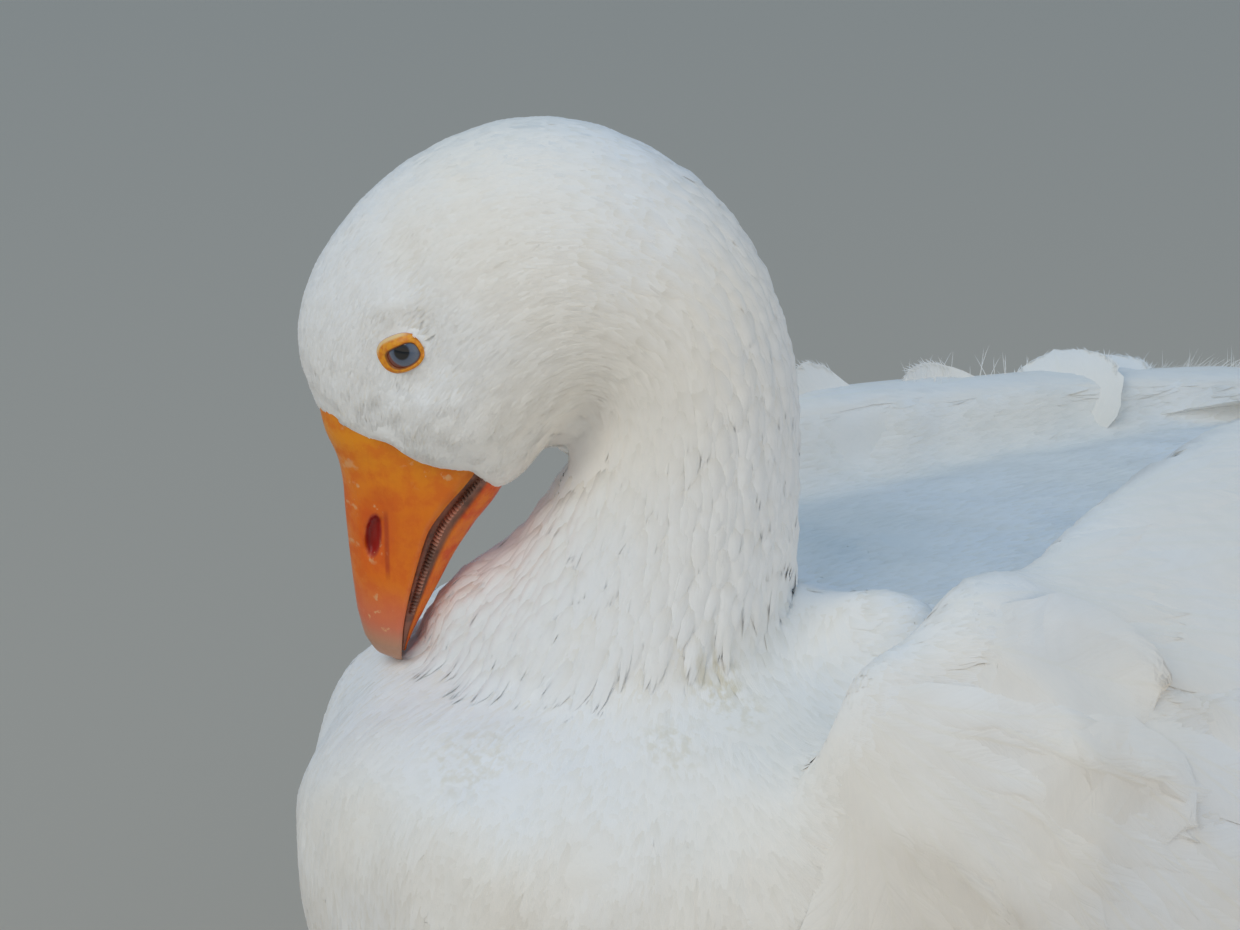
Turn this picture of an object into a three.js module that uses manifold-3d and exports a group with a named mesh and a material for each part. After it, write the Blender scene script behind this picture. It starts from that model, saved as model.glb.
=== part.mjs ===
// A white domestic goose at rest, life size, as a still museum model.
// It sits on its belly with the feet tucked beside the keel, and bows its head
// to the right so that the tip of the bill touches the breast.
// Millimetres, +Z up. The goose faces -Y and its left side is +X.
// The origin is on the floor, under the middle of the model's box.
import * as THREE from "three";
import { mergeVertices } from "three/addons/utils/BufferGeometryUtils.js";
import Module from "manifold-3d";

const wasm = await Module();
wasm.setup();

// ---------------------------------------------------------------- driving sizes
const GAP = 0.3; // thin cut between two parts of the body
const HEAD_TURN = THREE.MathUtils.degToRad(40); // neck bends this far to the right of straight ahead
const NECK_FOOT = new THREE.Vector3(0, -197, 248); // zero of the neck's own plane
const BILL_ROOT = [57, 4]; // middle of the bill's base, [reach, rise] in the neck's plane
const BILL_LEAN = THREE.MathUtils.degToRad(5); // bill points down, leaning this far forward
const EYE_RADIUS = 8.2;
const EYE_PLACE = [56, 38.4, 18.6]; // [reach, rise, side] of the eyeball's middle
const BELLY_SINK = 7; // the belly is modelled this far below the floor, then cut flat

// ---------------------------------------------------------------- small tools
const lerp = THREE.MathUtils.lerp;

// A value between the rows of a table, on a Catmull-Rom spline through column i. t runs 0..1.
function along(rows, i, t) {
  const last = rows.length - 1;
  const at = Math.min(t * last, last - 1e-9);
  const k = Math.floor(at);
  const f = at - k;
  const row = (n) => rows[Math.max(0, Math.min(last, n))][i];
  const [a, b, c, d] = [row(k - 1), row(k), row(k + 1), row(k + 2)];
  return 0.5 * (2 * b + (c - a) * f + (2 * a - 5 * b + 4 * c - d) * f * f + (3 * b - a - 3 * c + d) * f ** 3);
}

// A closed body through rings of points, each ring with the same number of points.
function loft(rings) {
  const count = rings[0].length;
  const points = rings.flat();
  const index = [];
  for (let r = 0; r + 1 < rings.length; r++) {
    for (let i = 0; i < count; i++) {
      const a = r * count + i;
      const b = r * count + ((i + 1) % count);
      index.push(a, b, b + count, a, b + count, a + count);
    }
  }
  for (const [ring, turned] of [[0, false], [rings.length - 1, true]]) {
    const middle = points.length;
    points.push(rings[ring].reduce((sum, p) => sum.add(p), new THREE.Vector3()).divideScalar(count));
    for (let i = 0; i < count; i++) {
      const a = ring * count + i;
      const b = ring * count + ((i + 1) % count);
      index.push(...(turned ? [middle, a, b] : [middle, b, a]));
    }
  }
  const geometry = new THREE.BufferGeometry().setFromPoints(points);
  geometry.setIndex(index);
  return solidOf(geometry);
}

// A geometry as a manifold-3d solid with its faces pointing out.
function solidOf(geometry) {
  geometry.deleteAttribute("normal");
  geometry.deleteAttribute("uv");
  const merged = mergeVertices(geometry, 1e-3);
  const triVerts = new Uint32Array(merged.index.array);
  const build = () => new wasm.Manifold(
    new wasm.Mesh({ numProp: 3, vertProperties: merged.attributes.position.array, triVerts }),
  );
  const made = build();
  if (made.volume() > 0) return made;
  for (let i = 0; i < triVerts.length; i += 3) {
    [triVerts[i + 1], triVerts[i + 2]] = [triVerts[i + 2], triVerts[i + 1]];
  }
  return build();
}

function geometryOf(solid) {
  const mesh = solid.getMesh();
  const position = new Float32Array(mesh.numVert * 3);
  for (let i = 0; i < mesh.numVert; i++) {
    position.set(mesh.vertProperties.subarray(i * mesh.numProp, i * mesh.numProp + 3), i * 3);
  }
  const geometry = new THREE.BufferGeometry();
  geometry.setAttribute("position", new THREE.BufferAttribute(position, 3));
  geometry.setIndex(new THREE.BufferAttribute(new Uint32Array(mesh.triVerts), 1));
  geometry.computeVertexNormals();
  return geometry;
}

const joined = (solids) => solids.reduce((sum, s) => sum.add(s));
const aboveFloor = (solid) => solid.trimByPlane([0, 0, 1], 0);
const largest = (solid) => solid.decompose().sort((a, b) => b.volume() - a.volume())[0];

// ---------------------------------------------------------------- trunk
// Stations from the breast to the vent: [y, half width, top, widest level, bottom].
const TRUNK = [
  [-290, 4, 160, 155, 150],
  [-284, 33, 183, 152, 120],
  [-264, 60, 196, 147, 90],
  [-232, 84, 205, 140, 56],
  [-190, 103, 211, 131, 22],
  [-135, 116, 210, 122, -2],
  [-65, 121, 206, 116, -BELLY_SINK],
  [10, 119, 200, 114, -BELLY_SINK],
  [80, 107, 190, 117, -3],
  [140, 86, 177, 121, 22],
  [185, 60, 163, 125, 64],
  [212, 34, 150, 127, 98],
];
const TRUNK_RINGS = 19;
const TRUNK_SIDES = 24;
const TRUNK_SQUARENESS = 0.92; // under 1 fills the corners of the oval

function trunk(grow = 0) {
  const rings = [];
  for (let r = 0; r <= TRUNK_RINGS; r++) {
    const t = r / TRUNK_RINGS;
    const [y, half, top, middle, bottom] = [0, 1, 2, 3, 4].map((i) => along(TRUNK, i, t));
    const ring = [];
    for (let s = 0; s < TRUNK_SIDES; s++) {
      const a = (2 * Math.PI * s) / TRUNK_SIDES;
      const [c, v] = [Math.cos(a), Math.sin(a)];
      const x = Math.sign(c) * Math.abs(c) ** TRUNK_SQUARENESS * (half + grow);
      const reach = v > 0 ? top + grow - middle : middle - bottom + grow;
      ring.push(new THREE.Vector3(x, y, middle + Math.sign(v) * Math.abs(v) ** TRUNK_SQUARENESS * reach));
    }
    rings.push(ring);
  }
  rings[0].forEach((p) => (p.y -= grow));
  rings.at(-1).forEach((p) => (p.y += grow));
  return loft(rings);
}

// ---------------------------------------------------------------- neck and head
// The neck and head lie in one upright plane. A place in it is [reach, rise, side]:
// reach runs forward from the neck's foot, rise up and side to the bird's left.
const FORWARD = new THREE.Vector3(-Math.sin(HEAD_TURN), -Math.cos(HEAD_TURN), 0);
const LEFTWARD = new THREE.Vector3(Math.cos(HEAD_TURN), -Math.sin(HEAD_TURN), 0);

function inNeckPlane(reach, rise, side = 0) {
  return NECK_FOOT.clone()
    .addScaledVector(FORWARD, reach)
    .addScaledVector(LEFTWARD, side)
    .add(new THREE.Vector3(0, 0, rise));
}

// Sections from the bill's base over the crown and down to the breast:
// [throat reach, throat rise, crown reach, crown rise, half width, egg].
// Egg is how much narrower a section is at the crown than at the throat.
const NECK = [
  [35, -5.9, 79.2, 12, 17, 0.1],
  [29.4, -2.4, 85.7, 29, 22.5, 0.16],
  [25, 3.4, 84.9, 44, 26, 0.18],
  [20.2, 9.4, 76.8, 61.5, 28.5, 0.16],
  [16.2, 13.4, 60.2, 79.3, 29.5, 0.1],
  [13.2, 15.9, 35.5, 91.3, 29.8, 0.04],
  [12, 16.3, 9.5, 90.5, 29.2, 0],
  [12.2, 15, -16, 76, 28.2, 0],
  [13.4, 11.3, -32.3, 54, 28, 0],
  [17.4, 4.2, -39.8, 28.5, 28.5, 0],
  [23.8, -6.4, -41.5, 2, 31, 0],
  [33.4, -21.4, -41.2, -24, 36, 0],
  [45.5, -35, -42, -50, 43, 0],
  [56, -54, -43, -76, 50, 0],
];
const NECK_SIDES = 22;
const NECK_STEPS = 2; // rings for each row of the table

function neckRing(t) {
  const [tr, tz, cr, cz, half, egg] = [0, 1, 2, 3, 4, 5].map((i) => along(NECK, i, t));
  const ring = [];
  for (let s = 0; s < NECK_SIDES; s++) {
    const a = (2 * Math.PI * s) / NECK_SIDES;
    const up = (1 + Math.cos(a)) / 2; // 1 at the crown, 0 at the throat
    ring.push(inNeckPlane(
      lerp(tr, cr, up),
      lerp(tz, cz, up),
      half * Math.sin(a) * (1 - egg * Math.cos(a)),
    ));
  }
  return ring;
}

// The length of neck between two rows of the table, with half a cut's gap at each end.
function neckLength(first, last) {
  const rows = NECK.length - 1;
  const steps = Math.round((last - first) * NECK_STEPS);
  const rings = [];
  for (let k = 0; k <= steps; k++) rings.push(neckRing((first + ((last - first) * k) / steps) / rows));
  const inward = (ring, next) => {
    const shift = centre(next).sub(centre(ring)).setLength(GAP / 2);
    return ring.map((p) => p.clone().add(shift));
  };
  const begun = inward(rings[0], rings[1]);
  const ended = inward(rings[steps], rings[steps - 1]);
  return loft([begun, ...rings.slice(1, -1), ended]);
}

function centre(ring) {
  return ring.reduce((sum, p) => sum.add(p), new THREE.Vector3()).divideScalar(ring.length);
}

// ---------------------------------------------------------------- bill
// A place on the bill is (out, up, side): out from its base to the tip, up to the culmen.
const BILL_OUT = [Math.sin(BILL_LEAN), -Math.cos(BILL_LEAN)];
const BILL_UP = [Math.cos(BILL_LEAN), Math.sin(BILL_LEAN)];

function onBill(out, up, side) {
  return inNeckPlane(
    BILL_ROOT[0] + out * BILL_OUT[0] + up * BILL_UP[0],
    BILL_ROOT[1] + out * BILL_OUT[1] + up * BILL_UP[1],
    side,
  );
}

// Stations from inside the face to the tip:
// [out, culmen, cutting edge, underside, half width of the upper bill, of the lower bill].
const BILL = [
  [-12, 25.6, -21, -28, 16, 13.4],
  [-5, 22.2, -17.8, -26.6, 15.8, 13.2],
  [2, 18, -14, -24.8, 15.3, 12.8],
  [9, 16.4, -9.4, -22, 14.4, 12.2],
  [16, 15.5, -5.8, -17.6, 13.3, 11.2],
  [25, 14, -3.9, -13, 11.9, 10],
  [34, 12.3, -2.5, -9.4, 10.7, 8.8],
  [43, 10.4, -1.6, -5.9, 9.6, 7],
  [50, 8, -1.6, -3.4, 7.6, 4.4],
  [54, 5, -1.8, -2.6, 5, 2.4],
  [56, 1, -2.2, -2.8, 1.8, 1],
];
const LOWER_BILL_END = 0.8; // the lower bill stops at this share of the table, behind the nail
const BILL_RINGS = 12;
const BILL_SIDES = 10;

// Half-oval sections, flat on the cutting edge.
function billHalf({ arch, half, last, lift }) {
  const rings = [];
  for (let r = 0; r <= BILL_RINGS; r++) {
    const t = (last * r) / BILL_RINGS;
    const out = along(BILL, 0, t);
    const edge = along(BILL, 2, t) - (lift < 0 ? GAP : 0);
    const height = Math.max(0.5, lift * (along(BILL, arch, t) - edge));
    const ring = [];
    for (let s = 0; s <= BILL_SIDES; s++) {
      const a = (Math.PI * s) / BILL_SIDES;
      ring.push(onBill(out, edge + lift * height * Math.sin(a) ** 0.85, along(BILL, half, t) * Math.cos(a)));
    }
    rings.push(ring);
  }
  return loft(rings);
}

// The face ends, and the bill begins, on a plane through the culmen's and the chin's feather edges.
function billBeyondFace(solid) {
  const [throatReach, throatRise, crownReach, crownRise] = NECK[0];
  const chin = inNeckPlane(throatReach, throatRise);
  const across = inNeckPlane(crownReach, crownRise).sub(chin);
  const normal = new THREE.Vector3().crossVectors(LEFTWARD, across).normalize();
  if (normal.z > 0) normal.negate();
  return solid.trimByPlane(normal.toArray(), normal.dot(chin) + GAP / 2);
}

// ---------------------------------------------------------------- feathers
// A feather blade: a thin lens along a bent line, widest past its middle, with a round tip.
// root and tip are places, face is the way the blade's upper side looks, bow lifts its middle.
const BLADE_STATIONS = [0, 0.45, 0.8, 0.94, 1];

function blade({ root, tip, face, width, thick = 2.6, bow = 0, grow = 0 }) {
  const line = tip.clone().sub(root);
  const across = new THREE.Vector3().crossVectors(line, face).normalize();
  const up = new THREE.Vector3().crossVectors(across, line).normalize();
  const stretch = grow / line.length();
  const rings = BLADE_STATIONS.map((t) => {
    const roundTip = Math.sqrt(Math.max(0, 1 - Math.max(0, (t - 0.76) / 0.24) ** 2));
    const half = Math.max(1.2, (width / 2) * Math.min(1, 0.55 + t) * roundTip) + grow;
    const middle = root.clone()
      .addScaledVector(line, t + (2 * t - 1) * stretch)
      .addScaledVector(up, bow * Math.sin(Math.PI * t));
    const lens = (thick / 2) * (1 - 0.4 * t) + grow;
    return [
      middle.clone().addScaledVector(across, half),
      middle.clone().addScaledVector(up, lens),
      middle.clone().addScaledVector(across, -half),
      middle.clone().addScaledVector(up, -lens),
    ];
  });
  return loft(rings);
}

// ---------------------------------------------------------------- wing
// Stations of a folded wing's covered part, from the wrist to the rear:
// [y, x, z, half thickness, half height, lean towards the back in degrees, wrap of the top over the back].
const WING = [
  [-212, 80, 192, 2, 8, 8, 0],
  [-198, 87, 188, 11, 36, 12, 0],
  [-160, 96, 172, 19, 57, 15, 2],
  [-100, 103, 158, 25, 66, 18, 6],
  [-30, 104, 149, 27, 66, 21, 12],
  [40, 98, 144, 25, 62, 23, 20],
  [105, 84, 144, 20, 50, 25, 24],
  [150, 66, 147, 13, 38, 27, 18],
  [184, 46, 152, 4, 20, 30, 8],
];
const WING_RINGS = 12;
const WING_SIDES = 14;
// The left wing lies looser: its shoulder feathers reach further over the back and stand up.
const LOOSE = { from: -150, to: 150, over: 36, rise: 21 };
// The right wing is drawn back from the shoulder, so that its front is lower.
const LOW_FRONT = { from: -200, to: -85, less: 0.75, drop: 8 };

function wingBody(loose, grow = 0) {
  const rings = [];
  for (let r = 0; r <= WING_RINGS; r++) {
    const [y, x, z, thick, tall, lean, wrap] = [0, 1, 2, 3, 4, 5, 6].map((i) => along(WING, i, r / WING_RINGS));
    const tilt = THREE.MathUtils.degToRad(lean);
    const slack = THREE.MathUtils.clamp((y - LOOSE.from) / (LOOSE.to - LOOSE.from), 0, 1);
    const ruffle = loose ? Math.sin(Math.PI * slack) : 0;
    const low = loose ? 0 : 1 - THREE.MathUtils.smoothstep(y, LOW_FRONT.from, LOW_FRONT.to);
    const ring = [];
    for (let s = 0; s < WING_SIDES; s++) {
      const a = (2 * Math.PI * s) / WING_SIDES;
      const short = Math.sin(a) > 0 ? 1 - LOW_FRONT.less * low : 1;
      const [out, up] = [(thick + grow) * Math.cos(a), (tall * short + grow) * Math.sin(a)];
      const top = Math.max(0, Math.sin(a)) ** 2;
      ring.push(new THREE.Vector3(
        x + out * Math.cos(tilt) - up * Math.sin(tilt) - top * (wrap + LOOSE.over * ruffle),
        y,
        z + out * Math.sin(tilt) + up * Math.cos(tilt) + top * LOOSE.rise * ruffle - LOW_FRONT.drop * low,
      ));
    }
    rings.push(ring);
  }
  return loft(rings);
}

// Rows of long feathers: count blades from the first to the last root and tip.
function featherRow({ count, root, tip, face, width, bow, thick }, grow = 0) {
  const blades = [];
  for (let k = 0; k < count; k++) {
    const t = count > 1 ? k / (count - 1) : 0;
    const mix = (pair) => new THREE.Vector3(...pair[0]).lerp(new THREE.Vector3(...pair[1]), t);
    blades.push(blade({
      root: mix(root),
      tip: mix(tip),
      face: mix(face).normalize(),
      width: lerp(width[0], width[1], t),
      bow,
      thick,
      grow,
    }));
  }
  return blades;
}

const TERTIALS = {
  count: 4,
  root: [[66, 0, 200], [106, 50, 160]],
  tip: [[14, 168, 182], [70, 208, 152]],
  face: [[0.25, 0, 1], [1, 0.1, 0.6]],
  width: [50, 46],
  bow: 7,
  thick: 5,
};
const LOOSE_TERTIALS = { ...TERTIALS, root: [[34, 0, 216], [104, 50, 164]] };
const SECONDARIES = {
  count: 5,
  root: [[122, -10, 136], [119, -60, 102]],
  tip: [[88, 190, 128], [114, 100, 70]],
  face: [[1, 0.15, 0.2], [1, 0.05, -0.25]],
  width: [46, 40],
  bow: 6,
  thick: 5,
};
const PRIMARIES = {
  count: 5,
  root: [[60, 90, 160], [72, 70, 136]],
  tip: [[16, 289.8, 162], [52, 232, 138]],
  face: [[0.8, 0.1, 0.75], [1, 0.2, 0.3]],
  width: [26, 28],
  bow: 5,
  thick: 3,
};
// One broad blade under the primaries holds them together.
const PRIMARY_BED = {
  root: new THREE.Vector3(62, 80, 148),
  tip: new THREE.Vector3(38, 236, 153),
  face: new THREE.Vector3(0.9, 0.15, 0.5).normalize(),
  width: 46,
  bow: 4,
  thick: 6,
};
const PRIMARY_CUT = 150; // primaries are their own part behind this y

function coveredWing(loose, grow = 0) {
  const tertials = featherRow(loose ? LOOSE_TERTIALS : TERTIALS, grow);
  return joined([wingBody(loose, grow), ...tertials, ...featherRow(SECONDARIES, grow)]);
}

function primaries() {
  return joined([blade(PRIMARY_BED), ...featherRow(PRIMARIES)]).trimByPlane([0, 1, 0], PRIMARY_CUT);
}

// ---------------------------------------------------------------- tail
const TAIL_FEATHERS = 7;
const TAIL_ROOT = new THREE.Vector3(0, 176, 132);
const TAIL_LENGTH = 114;
const TAIL_SPREAD = THREE.MathUtils.degToRad(25); // of the outer feather from the middle
const TAIL_LIFT = THREE.MathUtils.degToRad(5);
// Upper and lower tail coverts, a flattened cone that the feathers grow from: [along y, half width, half height].
const TAIL_COVERTS = [[0, 54, 32], [28, 46, 25], [60, 34, 12], [84, 22, 3]];
const COVERT_SIDES = 12;

function tail(grow = 0) {
  const blades = [];
  for (let k = 0; k < TAIL_FEATHERS; k++) {
    const side = (2 * k) / (TAIL_FEATHERS - 1) - 1;
    const turn = side * TAIL_SPREAD;
    const length = TAIL_LENGTH * (1 - 0.13 * side * side);
    const root = TAIL_ROOT.clone().add(new THREE.Vector3(side * 30, 0, -6 * side * side));
    const way = new THREE.Vector3(Math.sin(turn), Math.cos(turn), Math.sin(TAIL_LIFT) - 0.1 * side * side);
    blades.push(blade({
      root,
      tip: root.clone().addScaledVector(way, length),
      face: new THREE.Vector3(side * 0.45, 0, 1),
      width: 33,
      thick: 4.5,
      bow: 3,
      grow,
    }));
  }
  const coverts = TAIL_COVERTS.map(([y, half, tall]) => {
    const ring = [];
    for (let s = 0; s < COVERT_SIDES; s++) {
      const a = (2 * Math.PI * s) / COVERT_SIDES;
      ring.push(new THREE.Vector3(
        (half + grow) * Math.cos(a),
        TAIL_ROOT.y + y,
        TAIL_ROOT.z - 4 + y * 0.05 + (tall + grow) * Math.sin(a),
      ));
    }
    return ring;
  });
  return joined([...blades, loft(coverts)]);
}

// ---------------------------------------------------------------- legs
// Sitting, each shank lies beside the keel with the webbed foot flat in front of it.
const LEG_X = 66;
const TOES_Y = -62; // joint of the toes
const HOCK_Y = 46;
const FOOT_ROOM = 1; // the belly's feathers stay this far off the toes
const TOES = [
  { turn: -22, length: 66, thick: 7 },
  { turn: 2, length: 78, thick: 7.5 },
  { turn: 26, length: 64, thick: 7 },
];
const CLAW_LENGTH = 9;
const WEB_THICK = 2;
const WEB_DENT = 0.16; // how far the web's front edge curves back towards the joint

// A round bar through [place, radius] pairs.
function bar(stops, sides = 8) {
  const rings = stops.map(([place, radius], k) => {
    const ahead = stops[Math.min(k + 1, stops.length - 1)][0];
    const behind = stops[Math.max(k - 1, 0)][0];
    const way = ahead.clone().sub(behind).normalize();
    const side = new THREE.Vector3().crossVectors(way, new THREE.Vector3(0, 0, 1)).normalize();
    const up = new THREE.Vector3().crossVectors(side, way);
    const ring = [];
    for (let s = 0; s < sides; s++) {
      const a = (2 * Math.PI * (s + 0.5)) / sides;
      ring.push(place.clone().addScaledVector(side, radius * Math.cos(a)).addScaledVector(up, radius * Math.sin(a)));
    }
    return ring;
  });
  return loft(rings);
}

function foot(grow = 0) {
  const joint = new THREE.Vector3(LEG_X, TOES_Y, 5);
  const tips = TOES.map(({ turn, length }) => {
    const a = THREE.MathUtils.degToRad(turn);
    return joint.clone().add(new THREE.Vector3(Math.sin(a), -Math.cos(a), 0).multiplyScalar(length));
  });
  const toes = tips.map((tip, k) => {
    const at = (t, z) => joint.clone().lerp(tip, t).setZ(z);
    const r = TOES[k].thick / 2 + grow;
    const claw = at(1 + CLAW_LENGTH / TOES[k].length, 1.6);
    return bar([
      [at(-0.06, 4.2), r * 0.9], [at(0.12, 4), r * 1.12], [at(0.36, 3.1), r * 0.94],
      [at(0.9, 2.6), r * 0.8], [at(1, 2.8), r * 0.55], [claw, 0.6 + grow],
    ], 6);
  });
  const webs = [0, 1].map((k) => {
    const [a, b] = [tips[k], tips[k + 1]];
    const dent = a.clone().lerp(b, 0.5).lerp(joint, WEB_DENT);
    const outline = new THREE.Shape([joint, a.clone().lerp(joint, 0.04), dent, b.clone().lerp(joint, 0.04)]
      .map((p) => new THREE.Vector2(p.x, p.y)));
    return solidOf(new THREE.ExtrudeGeometry(outline, { depth: WEB_THICK + grow, bevelEnabled: false }));
  });
  return aboveFloor(joined([...toes, ...webs]));
}

function shank(grow = 0) {
  const at = (y, z) => new THREE.Vector3(lerp(LEG_X, LEG_X + 6, (y - TOES_Y) / (HOCK_Y - TOES_Y)), y, z);
  const bars = bar([
    [at(TOES_Y + 5, 6.5), 6 + grow], [at(TOES_Y + 14, 7.5), 5.6 + grow], [at(-8, 8), 5.4 + grow],
    [at(HOCK_Y - 14, 8.6), 6.4 + grow], [at(HOCK_Y, 9.4), 8.4 + grow], [at(HOCK_Y + 9, 11), 6.4 + grow],
  ], 10);
  return aboveFloor(bars);
}

// ---------------------------------------------------------------- the whole goose
const WHITE = new THREE.MeshStandardMaterial({ color: 0xf1eee6, roughness: 0.85, metalness: 0 });
const BILL_ORANGE = new THREE.MeshStandardMaterial({ color: 0xe07a12, roughness: 0.45, metalness: 0 });
const LEG_ORANGE = new THREE.MeshStandardMaterial({ color: 0xdf8420, roughness: 0.6, metalness: 0 });
const EYE_BLUE = new THREE.MeshStandardMaterial({ color: 0x4a5a74, roughness: 0.08, metalness: 0 });

const goose = new THREE.Group();
goose.name = "domestic_goose";

function add(name, solid, material, mirrored = false) {
  const mesh = new THREE.Mesh(geometryOf(mirrored ? solid.mirror([1, 0, 0]) : solid), material);
  mesh.name = name;
  goose.add(mesh);
}

// Rows of the neck's table where the head ends and each length of neck ends.
const NAPE = 4.5;
const NECK_CUTS = [NAPE, 7.5, 10, 13];

const eyes = [1, -1].map((side) => {
  const place = inNeckPlane(EYE_PLACE[0], EYE_PLACE[1], side * EYE_PLACE[2]);
  const ball = (radius) => {
    const sphere = new THREE.SphereGeometry(radius, 12, 8);
    sphere.translate(place.x, place.y, place.z);
    return solidOf(sphere);
  };
  return { ball: ball(EYE_RADIUS), socket: ball(EYE_RADIUS + GAP) };
});
let head = neckLength(0, NAPE);
eyes.forEach(({ socket }) => (head = head.subtract(socket)));
add("head", largest(head), WHITE);
add("eye_left", eyes[0].ball, EYE_BLUE);
add("eye_right", eyes[1].ball, EYE_BLUE);

const upperBill = billHalf({ arch: 1, half: 4, last: 1, lift: 1 });
const lowerBill = billHalf({ arch: 3, half: 5, last: LOWER_BILL_END, lift: -1 });
add("bill_upper", largest(billBeyondFace(upperBill)), BILL_ORANGE);
add("bill_lower", largest(billBeyondFace(lowerBill)), BILL_ORANGE);

// Room kept round the trunk. Adding its mirror image covers both ways of facing its panels.
const trunkRoom = trunk(GAP).add(trunk(GAP).mirror([1, 0, 0]));
const tailRoom = tail(GAP).add(tail(GAP).mirror([1, 0, 0]));
["neck_upper", "neck_middle", "neck_lower"].forEach((name, k) => {
  const length = neckLength(NECK_CUTS[k], NECK_CUTS[k + 1]);
  add(name, largest(length.subtract(trunkRoom)), WHITE);
});

let body = aboveFloor(trunk());
for (const mirrored of [false, true]) {
  const onSide = (solid) => (mirrored ? solid.mirror([1, 0, 0]) : solid);
  body = body.subtract(onSide(foot(FOOT_ROOM))).subtract(onSide(shank(GAP)));
}
add("trunk", largest(body), WHITE);
add("tail", largest(tail().subtract(trunkRoom)), WHITE);

const shanks = shank();
const feet = largest(foot().subtract(shank(GAP)));
for (const [side, mirrored] of [["left", false], ["right", true]]) {
  const loose = side === "left";
  const wing = coveredWing(loose).subtract(trunkRoom).subtract(tailRoom);
  const hand = primaries().subtract(trunkRoom).subtract(coveredWing(loose, GAP)).subtract(tailRoom);
  add("wing_" + side, largest(wing), WHITE, mirrored);
  add("primaries_" + side, largest(hand), WHITE, mirrored);
  add("shank_" + side, shanks, LEG_ORANGE, mirrored);
  add("foot_" + side, feet, LEG_ORANGE, mirrored);
}

export default goose;
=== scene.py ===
# A white farm goose at rest on its belly, life size, with its neck arched and its bill on its breast.
# Shapes are worked out in millimetres and become metres where a mesh is made.
import math

import bmesh
import bpy
import numpy as np
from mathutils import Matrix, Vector
from mathutils.bvhtree import BVHTree


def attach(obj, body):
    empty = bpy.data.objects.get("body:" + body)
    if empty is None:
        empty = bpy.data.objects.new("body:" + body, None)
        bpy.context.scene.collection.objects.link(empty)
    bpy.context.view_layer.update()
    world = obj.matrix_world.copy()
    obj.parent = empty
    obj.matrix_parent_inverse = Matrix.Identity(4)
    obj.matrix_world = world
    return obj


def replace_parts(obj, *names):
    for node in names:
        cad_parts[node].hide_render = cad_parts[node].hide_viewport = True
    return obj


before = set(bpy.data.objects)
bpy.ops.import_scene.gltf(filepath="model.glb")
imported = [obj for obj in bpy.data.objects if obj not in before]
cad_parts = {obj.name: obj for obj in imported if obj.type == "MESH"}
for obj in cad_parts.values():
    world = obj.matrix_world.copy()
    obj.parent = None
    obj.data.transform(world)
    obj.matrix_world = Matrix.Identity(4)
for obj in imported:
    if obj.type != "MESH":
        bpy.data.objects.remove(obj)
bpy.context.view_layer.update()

# ------------------------------------------------------------------ skin
# The bird's hide, thin and pale under its down. It covers head, neck, trunk, folded wings and the
# root of the tail in one piece without a seam, and lies below the tips of the plumage by its depth.
MM = 0.001
SKIN_VOXEL = 2.3
SKIN_SOFTENING = 10
HEAD_COAT, NECK_COAT, BODY_COAT = 0.9, 2.6, 3.6  # depth of the plumage over the skin

# Neck and head lie in one upright plane, turned to the bird's right. A place in it is (reach, rise,
# side): forward from the neck's foot, up, and to the bird's left. Each row of NECK is a section:
# throat reach and rise, crown reach and rise, half width, and how much narrower it is at the crown.
HEAD_TURN = math.radians(40)
NECK_FOOT = np.array([0.0, -197.0, 248.0])
FORWARD = np.array([-math.sin(HEAD_TURN), -math.cos(HEAD_TURN), 0.0])
LEFTWARD = np.array([math.cos(HEAD_TURN), -math.sin(HEAD_TURN), 0.0])
UPWARD = np.array([0.0, 0.0, 1.0])
NECK = np.array([
    [35, -5.9, 79.2, 12, 17, 0.1],
    [29.4, -2.4, 85.7, 29, 22.5, 0.16],
    [25, 3.4, 84.9, 44, 26, 0.18],
    [20.2, 9.4, 76.8, 61.5, 28.5, 0.16],
    [16.2, 13.4, 60.2, 79.3, 29.5, 0.1],
    [13.2, 15.9, 35.5, 91.3, 29.8, 0.04],
    [12, 16.3, 9.5, 90.5, 29.2, 0],
    [12.2, 15, -16, 76, 28.2, 0],
    [13.4, 11.3, -32.3, 54, 28, 0],
    [17.4, 4.2, -39.8, 28.5, 28.5, 0],
    [23.8, -6.4, -41.5, 2, 31, 0],
    [33.4, -21.4, -41.2, -24, 36, 0],
    [45.5, -35, -42, -50, 43, 0],
    [56, -54, -43, -76, 50, 0],
])
NECK_END = len(NECK) - 1.0
# Folded wing: y, x, z, half thickness, half height, lean towards the back in degrees, wrap of its top.
WING = np.array([
    [-212, 80, 192, 2, 8, 8, 0],
    [-198, 87, 188, 11, 36, 12, 0],
    [-160, 96, 172, 19, 57, 15, 2],
    [-100, 103, 158, 25, 66, 18, 6],
    [-30, 104, 149, 27, 66, 21, 12],
    [40, 98, 144, 25, 62, 23, 20],
    [105, 84, 144, 20, 50, 25, 24],
    [150, 66, 147, 13, 38, 27, 18],
    [184, 46, 152, 4, 20, 30, 8],
])
WING_END = len(WING) - 1.0
LOOSE_FROM, LOOSE_TO, LOOSE_OVER, LOOSE_RISE = -150, 150, 36, 21  # the looser left shoulder
LOW_FROM, LOW_TO, LOW_LESS, LOW_DROP = -200, -85, 0.75, 8  # the lower front of the right wing
TAIL_ROOT = np.array([0.0, 176.0, 132.0])
TAIL_CONE = [  # back, half width, half height
    (-40, 60, 40), (0, 52, 30), (28, 44, 22), (60, 32, 10), (78, 20, 4),
]
FLESH = ["head", "neck_upper", "neck_middle", "neck_lower", "trunk"]


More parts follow.
